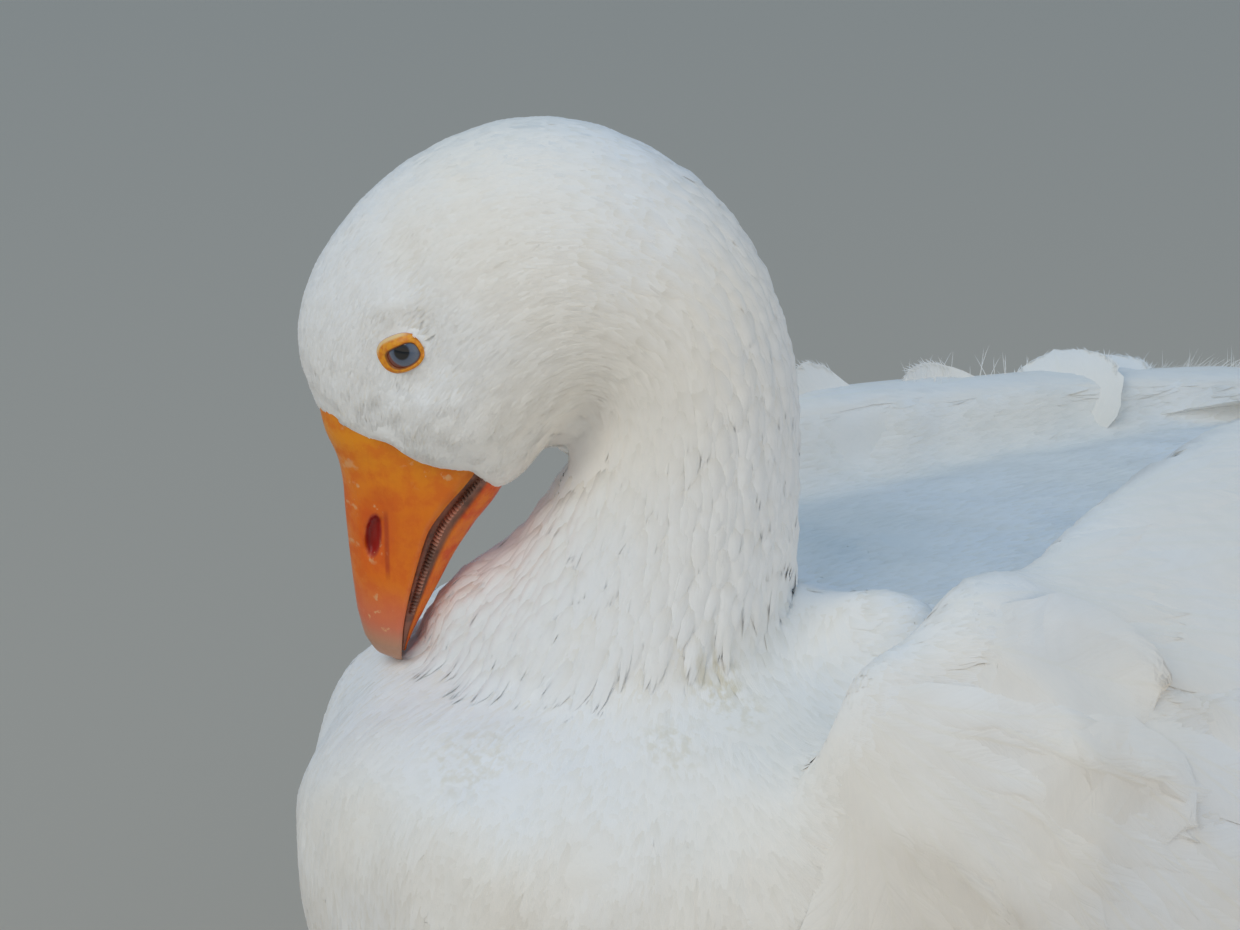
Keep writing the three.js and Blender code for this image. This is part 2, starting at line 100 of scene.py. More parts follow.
def spline(rows, at):
    """Every column of a table at the row numbers in at, on a Catmull-Rom curve."""
    rows = np.asarray(rows, float)
    at = np.clip(np.asarray(at, float), 0, len(rows) - 1 - 1e-9)
    k = at.astype(int)
    f = (at - k)[..., None]
    a, b, c, d = (rows[np.clip(k + n, 0, len(rows) - 1)] for n in (-1, 0, 1, 2))
    return 0.5 * (2 * b + (c - a) * f + (2 * a - 5 * b + 4 * c - d) * f**2 + (3 * b - a - 3 * c + d) * f**3)


def unit(v):
    """Each vector made one long."""
    return v / np.maximum(np.linalg.norm(v, axis=-1, keepdims=True), 1e-9)


def ease(x, a, b):
    """0 below a, 1 above b, smooth between."""
    t = np.clip((x - a) / (b - a), 0, 1)
    return t * t * (3 - 2 * t)


def in_neck_plane(reach, rise, side=0.0):
    """The place that lies so far forward, up and to the left of the neck's foot."""
    reach, rise, side = (np.asarray(v, float)[..., None] for v in np.broadcast_arrays(reach, rise, side))
    return NECK_FOOT + reach * FORWARD + side * LEFTWARD + rise * UPWARD


def neck_point(row, turn):
    """A point on the neck's outline at a row of its table; turn is the angle from the crown."""
    s = spline(NECK, row)
    up = (1 + np.cos(turn)) / 2
    reach = s[..., 0] + (s[..., 2] - s[..., 0]) * up
    rise = s[..., 1] + (s[..., 3] - s[..., 1]) * up
    return in_neck_plane(reach, rise, s[..., 4] * np.sin(turn) * (1 - s[..., 5] * np.cos(turn)))


def neck_place(points, normals):
    """The row of NECK and the turn from the crown for each point, and whether it is on the neck."""
    facing_reach, facing_rise = normals @ FORWARD, normals @ UPWARD
    local = points - NECK_FOOT
    reach, rise, side = local @ FORWARD, local @ UPWARD, local @ LEFTWARD
    rows = np.linspace(0, NECK_END, 190)
    s = spline(NECK, rows)
    across = s[:, 2:4] - s[:, 0:2]
    length = np.linalg.norm(across, axis=1)
    across /= length[:, None]
    best = np.full(len(points), 1e9)
    row, share = np.zeros(len(points)), np.zeros(len(points))
    for k in range(len(rows)):
        dr, dz = reach - s[k, 0], rise - s[k, 1]
        along = (dr * across[k, 0] + dz * across[k, 1]) / length[k]
        past_end = np.maximum(0, np.abs(along - 0.5) - 0.62)
        off = np.abs(dr * across[k, 1] - dz * across[k, 0]) + 60 * past_end
        inward = (facing_reach * across[k, 0] + facing_rise * across[k, 1]) * (along - 0.5)
        off = off + 40 * np.clip(-0.05 - inward, 0, 1)
        nearer = off < best
        best[nearer], row[nearer], share[nearer] = off[nearer], rows[k], along[nearer]
    half = spline(NECK, row)[:, 4]
    turn = np.arctan2(side / half, 2 * share - 1)
    inside = np.hypot(side / half, 2 * share - 1) < 1.35
    return row, turn, inside & (best < 14) & (row < NECK_END - 0.05)


def wing_point(row, turn, side):
    """A point on a folded wing. turn is 0 on its outer face and 90 degrees along its top edge."""
    y, x, z, thick, tall, lean, wrap = np.moveaxis(spline(WING, row), -1, 0)
    lean = np.radians(lean)
    slack = np.clip((y - LOOSE_FROM) / (LOOSE_TO - LOOSE_FROM), 0, 1)
    ruffle = np.sin(np.pi * slack) if side > 0 else 0 * slack
    low = 1 - ease(y, LOW_FROM, LOW_TO) if side < 0 else 0 * y
    short = np.where(np.sin(turn) > 0, 1 - LOW_LESS * low, 1)
    out, up = thick * np.cos(turn), tall * short * np.sin(turn)
    top = np.maximum(0, np.sin(turn)) ** 2
    px = x + out * np.cos(lean) - up * np.sin(lean) - top * (wrap + LOOSE_OVER * ruffle)
    pz = z + out * np.sin(lean) + up * np.cos(lean) + top * LOOSE_RISE * ruffle - LOW_DROP * low
    return np.stack([side * px, y + 0 * px, pz], -1)


def ring_faces(rings, around):
    """Faces of a closed tube of rings, with its two ends."""
    faces = [
        (r * around + i, r * around + (i + 1) % around,
         (r + 1) * around + (i + 1) % around, (r + 1) * around + i)
        for r in range(rings - 1) for i in range(around)
    ]
    return faces + [tuple(range(around))[::-1], tuple(range((rings - 1) * around, rings * around))]


def looking_out(mesh, merged=0.0):
    """Turns the mesh's faces outwards, once corners that lie closer than merged have become one."""
    shape = bmesh.new()
    shape.from_mesh(mesh)
    if merged:
        bmesh.ops.remove_doubles(shape, verts=shape.verts, dist=merged)
    bmesh.ops.recalc_face_normals(shape, faces=shape.faces)
    shape.to_mesh(mesh)
    shape.free()
    return mesh


def tube(name, rings):
    """A closed mesh through rings of points (rings, around, 3), its faces looking out."""
    rings = np.asarray(rings, float)
    mesh = bpy.data.meshes.new(name)
    mesh.from_pydata((rings.reshape(-1, 3) * MM).tolist(), [], ring_faces(rings.shape[0], rings.shape[1]))
    return looking_out(mesh, merged=1e-6)


def shown(name, mesh, slot, material=None, smooth=True):
    """The mesh as a piece of the goose, riding with the body."""
    made = bpy.data.objects.new(name, mesh)
    bpy.context.scene.collection.objects.link(made)
    if material:
        mesh.materials.append(material)
    if smooth:
        mesh.shade_smooth()
    if slot:
        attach(made, "root")
    return made


def applied(made):
    """Keeps what the object's modifiers make of its mesh, and takes them off."""
    bpy.context.view_layer.update()
    mesh = bpy.data.meshes.new_from_object(made.evaluated_get(bpy.context.evaluated_depsgraph_get()))
    made.modifiers.clear()
    made.data = mesh
    return mesh


def array_of(collection, what, size=3):
    """One value or vector of every item of a mesh, as an array."""
    values = np.zeros(len(collection) * size, np.float32)
    collection.foreach_get(what, values)
    return values.reshape(-1, size).astype(float)


def corner_array(polygons, sides):
    """The corners of every face of a mesh, or the two ends of every edge."""
    got = np.zeros(len(polygons) * sides, np.int32)
    polygons.foreach_get("vertices", got)
    return got.reshape(-1, sides)


flesh = bmesh.new()
for node in FLESH:
    flesh.from_mesh(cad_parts[node].data)
bmesh.ops.remove_doubles(flesh, verts=flesh.verts, dist=1e-5)
around = np.linspace(0, 2 * np.pi, 28, endpoint=False)
wing_rows = np.linspace(0, WING_END - 0.4, 40)
for side in (1, -1):
    flesh.from_mesh(tube("wing flesh", wing_point(wing_rows[:, None], around[None, :], side)))
flesh.from_mesh(tube("tail flesh", [
    [TAIL_ROOT + [half * math.cos(a), back, -4 + 0.05 * back + tall * math.sin(a)] for a in around]
    for back, half, tall in TAIL_CONE
]))
flesh.normal_update()
for v in flesh.verts:
    v.co += v.normal * 0.25 * MM
skin_mesh = bpy.data.meshes.new("skin")
flesh.to_mesh(skin_mesh)
flesh.free()
skin = shown("skin", skin_mesh, None)
remesh = skin.modifiers.new("one surface", "REMESH")
remesh.mode = "VOXEL"
remesh.voxel_size = SKIN_VOXEL * MM
soft = skin.modifiers.new("soft", "SMOOTH")
soft.factor = 0.5
soft.iterations = SKIN_SOFTENING
applied(skin)

skin_at = array_of(skin.data.vertices, "co") / MM
skin_normal = array_of(skin.data.vertex_normals, "vector")
row, turn, on_neck = neck_place(skin_at, skin_normal)
coat = np.full(len(skin_at), BODY_COAT)
neck_coat = HEAD_COAT + (NECK_COAT - HEAD_COAT) * ease(row, 3.5, 8)
neck_coat = neck_coat + (BODY_COAT - NECK_COAT) * ease(row, 9.5, 12.5)
coat[on_neck] = neck_coat[on_neck]
skin_at -= skin_normal * coat[:, None]

# ------------------------------------------------------------------ the skin's own forms
# The hide of the head, breast and shoulder is not a plain tube: it has hollows, furrows and full places
# under the down, and the left wing's feathers lie in folds. It runs on a little under the bill.
BILL_ROOT = np.array([57.0, 4.0])
BILL_LEAN = math.radians(5)
EYE = np.array([56.5, 38.2, 18.4])
EYE_RADIUS = 7.0
SOCKET = (58.4, 38.5)  # the middle of the eye's socket: reach and rise
SOCKET_BREADTH, SOCKET_SEAT = 12.0, 7.0  # how far the hollow goes, and where the closed skin begins
# Breast and shoulder: the two ends of a fuller place, its height and breadth.
BREAST_FORMS = [([-60, -238, 184], [-30, -231, 211], 7.0, 16)]
SHOULDER_FORMS = [
    ([30, -168, 204], [50, -160, 204], 8.5, 15),
    ([50, -160, 206], [78, -156, 214], 9.5, 14),
    ([60, -156, 208], [68, -157, 210], 6.5, 10),
]
# Folds of the left wing, where one sheaf of feathers lies over the next: points from front to back,
# and height.
FOLDS = [
    ([[88, -184, 217], [91, -167, 216], [102, -154, 202], [111, -150, 183], [116, -150, 163]], 4.2),
    ([[96, -184, 203], [99, -171, 202], [108, -150, 189], [115, -127, 181], [125, -113, 154]], 5.0),
    ([[93, -153, 214], [92, -144, 215], [97, -129, 208], [103, -119, 200], [111, -96, 187]], 4.2),
    ([[102, -176, 193], [108, -163, 182], [113, -157, 170], [117, -155, 150]], 4.0),
    ([[89, -205, 183], [101, -189, 176], [110, -174, 160], [114, -164, 151]], 3.4),
]
# Head: the hollow between eye and bill, the furrow behind the eye, the brow, the cheek and the seat of
# the lids. Each is a ridge or a groove between two places: reach, rise, side, then height and breadth.
HEAD_FORMS = [
    ([68, 27, 21], [66, 19, 21], -2.4, 4.8),
    ([53.5, 47, 26.5], [57.5, 64, 21], -2.0, 3.4),
    ([50.5, 40, 27.6], [53.5, 47, 26.5], -1.1, 3.2),
    ([63, 49, 23.5], [57.5, 51, 25.2], 1.4, 3.4),
    ([52, 24, 26], [42, 17, 25], 1.6, 5.0),
    ([59.6, 39.2, 25.4], [59.4, 39.4, 25.4], -0.5, 5.2),
    ([47, 33, 28], [55, 28.5, 26], -1.0, 3.0),
    ([30, 14, 18], [24, 12, 20], -0.9, 4.0),
]
FEATHER_LINE = np.array([  # height on the bill, and how far out the feathers reach there
    [-27, 8.5], [-23, 6.2], [-17.4, 1.4], [-15.2, -1.4], [-7.7, -1.4], [-2.3, -2.3], [1.9, -4.3],
    [5.3, -6.3], [11.6, -6.6], [16, -7.6], [20, -9.6], [22.7, -7.0], [26, -6.8],
])
# Bill: out, culmen, cutting edge, underside, half width of the upper and of the lower.
BILL = np.array([
    [-14, 24.6, -21.4, -28, 16.9, 14.4],
    [-5, 22.2, -17.8, -26.6, 16.5, 14],
    [2, 18.6, -14, -24.8, 15.7, 13.2],
    [9, 16.6, -9.4, -22, 14.7, 12.4],
    [16, 15.5, -5.8, -17.6, 13.5, 11.4],
    [25, 14, -3.9, -13, 12, 10],
    [34, 12.3, -2.5, -9.4, 10.8, 8.8],
    [43, 10.4, -1.6, -5.9, 9.6, 7],
    [50, 8, -1.6, -3.4, 7.6, 4.4],
    [54, 5, -1.8, -2.6, 5, 2.4],
    [56, 1, -2.2, -2.8, 1.8, 1],
])


def bill_row(out):
    """The bill's section at a distance out from its root."""
    return spline(BILL, np.interp(out, BILL[:, 0], np.arange(len(BILL))))


def bill_axes(reach, rise):
    """How far out along the bill a place of the neck's plane is, and how high on it."""
    r, z = reach - BILL_ROOT[0], rise - BILL_ROOT[1]
    s, c = math.sin(BILL_LEAN), math.cos(BILL_LEAN)
    return r * s - z * c, r * c + z * s


def on_bill(out, up, side):
    out, up = np.broadcast_arrays(np.asarray(out, float), np.asarray(up, float))
    return in_neck_plane(
        BILL_ROOT[0] + out * math.sin(BILL_LEAN) + up * math.cos(BILL_LEAN),
        BILL_ROOT[1] - out * math.cos(BILL_LEAN) + up * math.sin(BILL_LEAN), side,
    )


def bill_half_width(out, up):
    """Half the bill's width at a place, upper and lower together, 0 above the culmen."""
    _, culmen, edge, under, upper, lower = np.moveaxis(bill_row(out), -1, 0)
    n = np.interp(out, [-14, 10, 40], [2.9, 2.4, 2.0])
    high = np.clip((up - edge) / (culmen - edge), 0, 1)
    low = np.clip((edge - up) / (edge - under), 0, 1)
    return np.where(up > edge, upper * (1 - high**n) ** (1 / n), lower * (1 - low**2.2) ** (1 / 2.2))


def beside(points, a, b):
    """For each point, which share of the way from a to b lies nearest, and the step from there to it."""
    a, b = np.array(a, float), np.array(b, float)
    share = np.clip((points - a) @ (b - a) / ((b - a) @ (b - a)), 0, 1)
    return share, points - a - share[:, None] * (b - a)


def breadths_off(points, a, b, breadth):
    """How far each point is from the line between a and b, in breadths, squared."""
    return (np.linalg.norm(beside(points, a, b)[1], axis=1) / breadth) ** 2


head_space = np.stack([(skin_at - NECK_FOOT) @ way for way in (FORWARD, UPWARD, LEFTWARD)], -1)
mirrored = np.stack([head_space[:, 0], head_space[:, 1], np.abs(head_space[:, 2])], -1)


# The hide closes over the eye socket, so that the ball only looks out between the lids.
def face_level(level):
    """How far to the side the plane of the face lies at each corner, from its level at the eye."""
    return level - 0.364 * (mirrored[:, 0] - 58.2) - 0.03 * (mirrored[:, 1] - SOCKET[1])


flat_gap = np.hypot(mirrored[:, 0] - SOCKET[0], mirrored[:, 1] - SOCKET[1])
face_side = face_level(23.8) + 0.6 * (1 - flat_gap**2 / SOCKET_SEAT**2)
socket = (flat_gap < SOCKET_BREADTH) & (mirrored[:, 2] > 4)
socket &= mirrored[:, 2] < face_side - np.where(flat_gap < SOCKET_SEAT, 0.3, 2.0)
pull = np.minimum(1, SOCKET_SEAT / np.maximum(flat_gap, 0.1))
mirrored[socket, 0] = (SOCKET[0] + (mirrored[:, 0] - SOCKET[0]) * pull)[socket]
mirrored[socket, 1] = (SOCKET[1] + (mirrored[:, 1] - SOCKET[1]) * pull)[socket]
closed = face_level(24.4) - 0.6 * np.minimum(flat_gap, SOCKET_SEAT) ** 2 / SOCKET_SEAT**2
mirrored[socket, 2] = closed[socket]
face_way = np.sign(head_space[:, 2])
skin_at[socket] = in_neck_plane(mirrored[:, 0], mirrored[:, 1], mirrored[:, 2] * face_way)[socket]
skin_normal[socket] = (0.34 * FORWARD + 0.03 * UPWARD + 0.94 * face_way[:, None] * LEFTWARD)[socket]
edges = corner_array(skin.data.edges, 2)


def smoothed(field, times):
    """A field of the hide averaged with its neighbours a few times."""
    for _ in range(times):
        total = field.copy()
        count = np.ones(len(field))
        np.add.at(total, edges[:, 0], field[edges[:, 1]])
        np.add.at(total, edges[:, 1], field[edges[:, 0]])
        np.add.at(count, edges.ravel(), 1)
        field = total / (count[:, None] if field.ndim > 1 else count)
    return field


lids_near = (ease(-flat_gap, -12.5, -8.5) * (mirrored[:, 2] > 4))[:, None]
skin_at = skin_at * (1 - lids_near) + smoothed(skin_at, 60) * lids_near
# Where each wing's front comes out of the breast the down bridges the fold.
FRONT_FOLD = np.array([[58, -146, 208], [72, -164, 212], [84, -204, 208], [88, -216, 148]], float)
one_side = np.abs(skin_at[:, :1]) * [1, 0, 0] + skin_at * [0, 1, 1]
wing_front = np.full(len(skin_at), 1e9)
for a, b in zip(FRONT_FOLD[:-1], FRONT_FOLD[1:]):
    wing_front = np.minimum(wing_front, np.linalg.norm(beside(one_side, a, b)[1], axis=1))
bridge = np.exp(-((wing_front / 24) ** 2))[:, None]
skin_at = skin_at * (1 - bridge) + smoothed(skin_at, 110) * bridge
rise_by = 2.4 * bridge[:, 0]
for line, height in FOLDS:
    line = np.array(line, float)
    best, upper, travelled = np.full(len(skin_at), 1e9), np.zeros(len(skin_at)), np.zeros(len(skin_at))
    for k, (a, b) in enumerate(zip(line[:-1], line[1:])):
        share, apart = beside(skin_at, a, b)
        gap = np.linalg.norm(apart, axis=1)
        nearer = gap < best
        over = np.sum(apart * np.cross(skin_normal, unit(b - a)), 1)
        best, upper = np.where(nearer, gap, best), np.where(nearer, over, upper)
        travelled = np.where(nearer, (k + share) / (len(line) - 1), travelled)
    sheaf = np.where(upper > 0, np.exp(-best / 13), np.exp(-((best / 2.6) ** 2)))
    sheaf = height * sheaf * ease(travelled, 0, 0.35)
    rise_by += sheaf * (1 - 0.6 * ease(travelled, 0.7, 1)) * (skin_at[:, 0] > 60)
for a, b, height, breadth in HEAD_FORMS:
    rise_by += height * np.exp(-breadths_off(mirrored, a, b, breadth) / 1.4) * on_neck
for a, b, height, breadth in BREAST_FORMS:
    rise_by += height * np.exp(-breadths_off(skin_at, a, b, breadth))
for a, b, height, breadth in SHOULDER_FORMS:
    swell = height * np.exp(-breadths_off(skin_at, a, b, breadth))
    skin_at[:, 2] += swell * ease(skin_normal[:, 2], 0.0, 0.5)
skin_at += skin_normal * rise_by[:, None]
# In front of the feathers' edge the hide runs on under the horn of the bill.
out, up = bill_axes(head_space[:, 0], head_space[:, 1])
line = np.interp(up, FEATHER_LINE[:, 0], FEATHER_LINE[:, 1])
under_horn = ease(out - line, -3.0, 1.0) * on_neck * (row < 1.8) * ease(up, -23, -19)
room = np.maximum(bill_half_width(np.clip(out, -14, 50), up) - 1.6, 0)
side = head_space[:, 2]
tucked = np.sign(side) * np.minimum(np.abs(side), room)
skin_at += ((tucked - side) * under_horn)[:, None] * LEFTWARD
_, culmen, _, under, _, _ = np.moveaxis(bill_row(np.clip(out, -14, 50)), -1, 0)
new_up = np.clip(up, under + 1.6, culmen - 1.6)
lift = in_neck_plane(math.cos(BILL_LEAN) * (new_up - up), math.sin(BILL_LEAN) * (new_up - up)) - NECK_FOOT
skin_at += lift * under_horn[:, None]
skin.data.vertices.foreach_set("co", (skin_at * MM).astype(np.float32).ravel())
skin.data.update()
skin.data.shade_smooth()
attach(skin, "root")
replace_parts(skin, *FLESH, "wing_left", "wing_right", "tail")

# ------------------------------------------------------------------ finish of the plumage
# White horny vanes: a little warm or cool from place to place, with painted shade that greys them where
# they go under the next ones, the fine ribs of their barbs, and a few stains at the foot of the neck.
def feed(tree, socket, value):
    """Puts a number, a colour or another node's output into a socket."""
    if isinstance(value, bpy.types.NodeSocket):
        tree.links.new(value, socket)
    elif np.ndim(value) and len(value) == 3 and len(socket.default_value) == 4:
        socket.default_value = (*value, 1)
    else:
        socket.default_value = value


def mixed(tree, share, a, b, how="MIX"):
    made = tree.nodes.new("ShaderNodeMix")
    made.data_type, made.blend_type = "RGBA", how
    for k, value in ((0, share), (6, a), (7, b)):
        feed(tree, made.inputs[k], value)
    return made.outputs[2]


def maths(tree, what, a, b=0.0, c=0.0, clamp=False):
    made = tree.nodes.new("ShaderNodeMath")
    made.operation, made.use_clamp = what, clamp
    for k, value in enumerate((a, b, c)):
        feed(tree, made.inputs[k], value)
    return made.outputs[0]


def between(tree, value, low, high, to_low=0.0, to_high=1.0, smooth=True):
    """The value from low to high carried over to another range."""
    made = tree.nodes.new("ShaderNodeMapRange")
    made.interpolation_type = "SMOOTHSTEP" if smooth else "LINEAR"
    for k, v in enumerate((value, low, high, to_low, to_high)):
        feed(tree, made.inputs[k], v)
    return made.outputs[0]


def noise(tree, where, scale, detail=2.0, rough=0.5):
    made = tree.nodes.new("ShaderNodeTexNoise")
    tree.links.new(where, made.inputs["Vector"])
    made.inputs["Scale"].default_value, made.inputs["Detail"].default_value = scale, detail
    made.inputs["Roughness"].default_value = rough
    return made.outputs["Fac"]


def object_place(tree):
    return tree.nodes.new("ShaderNodeTexCoord").outputs["Object"]


def uv_place(tree, name):
    made = tree.nodes.new("ShaderNodeUVMap")
    made.uv_map = name
    split = tree.nodes.new("ShaderNodeSeparateXYZ")
    tree.links.new(made.outputs[0], split.inputs[0])
    return made.outputs[0], split.outputs[0], split.outputs[1]


def stretched(tree, where, scale):
    made = tree.nodes.new("ShaderNodeMapping")
    tree.links.new(where, made.inputs["Vector"])
    made.inputs["Scale"].default_value = scale
    return made.outputs[0]


def product(tree, a, b):
    return maths(tree, "MULTIPLY", a, b)


def away_from(tree, where, spot):
    """How far a place is from a spot."""
    made = tree.nodes.new("ShaderNodeVectorMath")
    made.operation = "DISTANCE"
    tree.links.new(where, made.inputs[0])
    made.inputs[1].default_value = spot
    return made.outputs["Value"]


def bumped(tree, shader, height, strength, distance):
    made = tree.nodes.new("ShaderNodeBump")
    made.inputs["Strength"].default_value = strength
    made.inputs["Distance"].default_value = distance
    feed(tree, made.inputs["Height"], height)
    tree.links.new(made.outputs[0], shader.inputs["Normal"])


def new_material(name, roughness, specular=0.5):
    made = bpy.data.materials.new(name)
    made.use_nodes = True
    shader = made.node_tree.nodes["Principled BSDF"]
    shader.inputs["Roughness"].default_value = roughness
    shader.inputs["Specular IOR Level"].default_value = specular
    return made, made.node_tree, shader


def new_group(name, inputs, outputs):
    """A node group with named number inputs and its outputs, which are numbers or colours."""
    group = bpy.data.node_groups.new(name, "ShaderNodeTree")
    for title, value in inputs.items():
        socket_in = group.interface.new_socket(title, in_out="INPUT", socket_type="NodeSocketFloat")
        socket_in.default_value = value
    for title, kind in outputs.items():
        group.interface.new_socket(title, in_out="OUTPUT", socket_type=f"NodeSocket{kind}")
    return group, group.nodes.new("NodeGroupInput").outputs, group.nodes.new("NodeGroupOutput").inputs


def placed(tree, group, **values):
    made = tree.nodes.new("ShaderNodeGroup")
    made.node_tree = group
    for name, value in values.items():
        feed(tree, made.inputs[name.replace("_", " ")], value)
    return made.outputs


# The third colour is painted shade: the grey of the coat where it lies under other feathers and in the gaps
# between them.
COOL_WHITE, WARM_WHITE, PAINTED_ROOT_SHADE = (0.92, 0.92, 0.915), (0.95, 0.905, 0.83), (0.87, 0.83, 0.75)
STAIN = (0.66, 0.57, 0.36)
STAINS = [  # place and radius
    (37, -206, 207, 5), (38, -204, 204, 4), (46, -205, 198, 5), (46, -225, 194, 5), (14, -264, 191, 7),
]

plumage_tint, given, result = new_group("white plumage", {"Warmth": 0.0}, {"Color": "Color"})
where = object_place(plumage_tint)
uneven = maths(plumage_tint, "ADD", noise(plumage_tint, where, 11, 3), given["Warmth"])
broad = between(plumage_tint, uneven, 0.36, 0.66)
fine = between(plumage_tint, noise(plumage_tint, where, 160, 2), 0.35, 0.7)
tint = mixed(plumage_tint, broad, COOL_WHITE, WARM_WHITE)
tint = mixed(plumage_tint, product(plumage_tint, fine, 0.18), tint, (0.86, 0.83, 0.77))
drawn_out = stretched(plumage_tint, where, (420, 420, 130))
streaks = between(plumage_tint, noise(plumage_tint, drawn_out, 1, 2), 0.42, 0.68)
for *spot_at, radius in STAINS:
    gap = away_from(plumage_tint, where, Vector(spot_at) * MM)
    spot = between(plumage_tint, gap, radius * MM, 2.2 * radius * MM, 1, 0)
    stained = product(plumage_tint, product(plumage_tint, spot, streaks), 0.32)
    tint = mixed(plumage_tint, stained, tint, STAIN)
plumage_tint.links.new(tint, result["Color"])

barbs, given, result = new_group("barbs of a vane", {"Spacing": 1.3}, {"Height": "Float", "Shaft": "Float"})
_, across, along = uv_place(barbs, "Vane")
out_ = maths(barbs, "ABSOLUTE", maths(barbs, "SUBTRACT", across, 0.5))
slant = product(barbs, maths(barbs, "SUBTRACT", along, product(barbs, out_, 1.8)), 100)
wander = product(barbs, noise(barbs, object_place(barbs), 60, 2), 3.0)
line_up = barbs.nodes.new("ShaderNodeCombineXYZ")
slanting = maths(barbs, "ADD", slant, wander)
feed(barbs, line_up.inputs[0], maths(barbs, "DIVIDE", slanting, given["Spacing"]))
feed(barbs, line_up.inputs[1], product(barbs, across, 6.0))
fine_lines = noise(barbs, line_up.outputs[0], 0.8, 2)
broad_lines = noise(barbs, line_up.outputs[0], 0.16, 1)
both_lines = maths(barbs, "ADD", product(barbs, fine_lines, 0.5), product(barbs, broad_lines, 1.6))
barbs.links.new(both_lines, result["Height"])
barbs.links.new(between(barbs, out_, 0.004, 0.009, 1, 0), result["Shaft"])

plumage, tree, shader = new_material("down", 0.75, 0.2)
_, across, along = uv_place(tree, "Vane")
# Painted shade: each tuft greys towards its root, which lies under its neighbours.
under = between(tree, along, 0.05, 0.55, 0.75, 0)
colour = placed(tree, plumage_tint)["Color"]
feed(tree, shader.inputs["Base Color"], mixed(tree, under, colour, PAINTED_ROOT_SHADE))
shader.inputs["Sheen Weight"].default_value = 0.2
shader.inputs["Sheen Roughness"].default_value = 0.4
fibres = noise(tree, stretched(tree, uv_place(tree, "Vane")[0], (14, 1.2, 1)), 1, 1)
bumped(tree, shader, fibres, 0.25, 0.0004)

vane_finish, tree, shader = new_material("feather vanes", 0.6, 0.3)
ribs = placed(tree, barbs)
colour = placed(tree, plumage_tint, Warmth=0.05)["Color"]
colour = mixed(tree, product(tree, ribs["Shaft"], 0.35), colour, (0.92, 0.88, 0.78))
# Painted shade: each feather greys towards its root, which lies under the feathers before it.
root_shade_share = between(tree, uv_place(tree, "Vane")[2], 0.0, 0.25, 0.5, 0)
feed(tree, shader.inputs["Base Color"], mixed(tree, root_shade_share, colour, PAINTED_ROOT_SHADE))
shader.inputs["Sheen Weight"].default_value = 0.2
shader.inputs["Sheen Roughness"].default_value = 0.4
bumped(tree, shader, ribs["Height"], 0.3, 0.0007)

hide_finish, tree, shader = new_material("hide", 0.8, 0.2)
# The hide is tinted a little with the painted shade grey, as it only shows in the gaps under the coat.
feed(tree, shader.inputs["Base Color"], mixed(tree, 0.1, placed(tree, plumage_tint)["Color"], PAINTED_ROOT_SHADE))
bumped(tree, shader, noise(tree, object_place(tree), 900, 2), 0.3, 0.0004)
skin.data.materials.clear()
skin.data.materials.append(hide_finish)

# ------------------------------------------------------------------ the lie of the plumage
# Feathers grow back from the bill over the crown and down the neck, spread out from its foot over
# breast and shoulders, and run back along the body. The lie is worked out at every corner of the hide.
skin_at = array_of(skin.data.vertices, "co") / MM
skin_normal = array_of(skin.data.vertex_normals, "vector")
corners = corner_array(skin.data.polygons, 4)
row, turn, on_neck = neck_place(skin_at, skin_normal)
step = 0.02
further, nearer = np.minimum(row + step, NECK_END), np.maximum(row - step, 0)
lie_neck = unit(neck_point(further, turn) - neck_point(nearer, turn))
from_neck = skin_at - (NECK_FOOT + [0, 30, -40])
spread = unit(from_neck * [1, 1, 0.8])
backward = np.array([0.0, 1.0, 0.0])
outward_share = (1.0 - ease(skin_at[:, 1], -235, -95))[:, None]
back_share = (0.15 + ease(skin_at[:, 1], -260, -120))[:, None]
lie_body = unit(spread * outward_share + backward * back_share)
sunk = 0.35 * ease(-skin_at[:, 2], -190, -90)
lie_body[:, 2] -= sunk * ease(skin_at[:, 1], -200, -60) * ease(skin_at[:, 2], 20, 70)
to_body = np.where(on_neck, ease(row, 11.2, 13), 1)[:, None]
lie = unit(lie_neck) * (1 - to_body) + unit(lie_body) * to_body


def laid(field, normal):
    """The field's vectors laid down along the surface."""
    return unit(field - normal * np.sum(field * normal, -1, keepdims=True))


body_part = ease(row, 9, 12) * on_neck + ~on_neck
lie = laid(lie, skin_normal)
soft_lie = smoothed(lie, 14)
lie = laid(lie * (1 - body_part[:, None]) + soft_lie * body_part[:, None], skin_normal)
soft_normal = unit(smoothed(skin_normal, 5))
hide = BVHTree.FromPolygons(skin_at.tolist(), corners.tolist())


def weights(at, near):
    """How much each near corner of the hide counts at a place on it."""
    weight = 1 / (np.linalg.norm(skin_at[near] - at[:, None], axis=-1) ** 2 + 0.15)
    return weight / weight.sum(-1, keepdims=True)


def on_hide(points):
    """The nearest places on the hide: where, and the corners of the hide there with their weights."""
    found = [hide.find_nearest(p) for p in points.tolist()]
    at = np.array([f[0] for f in found])
    near = corners[[f[2] for f in found]]
    return at, near, weights(at, near)


def there(field, near, weight):
    """A field of the hide at places on it."""
    return np.sum(field[near] * (weight[..., None] if field.ndim > 1 else weight), 1)


# The hide is laid out flat for its colours as three sheets: head and neck, the outside of body and
# wings, and the hollow of the back. Every feather lies as a patch at its root's place on them.
PATCH = 0.0015  # half the breadth of a feather's patch


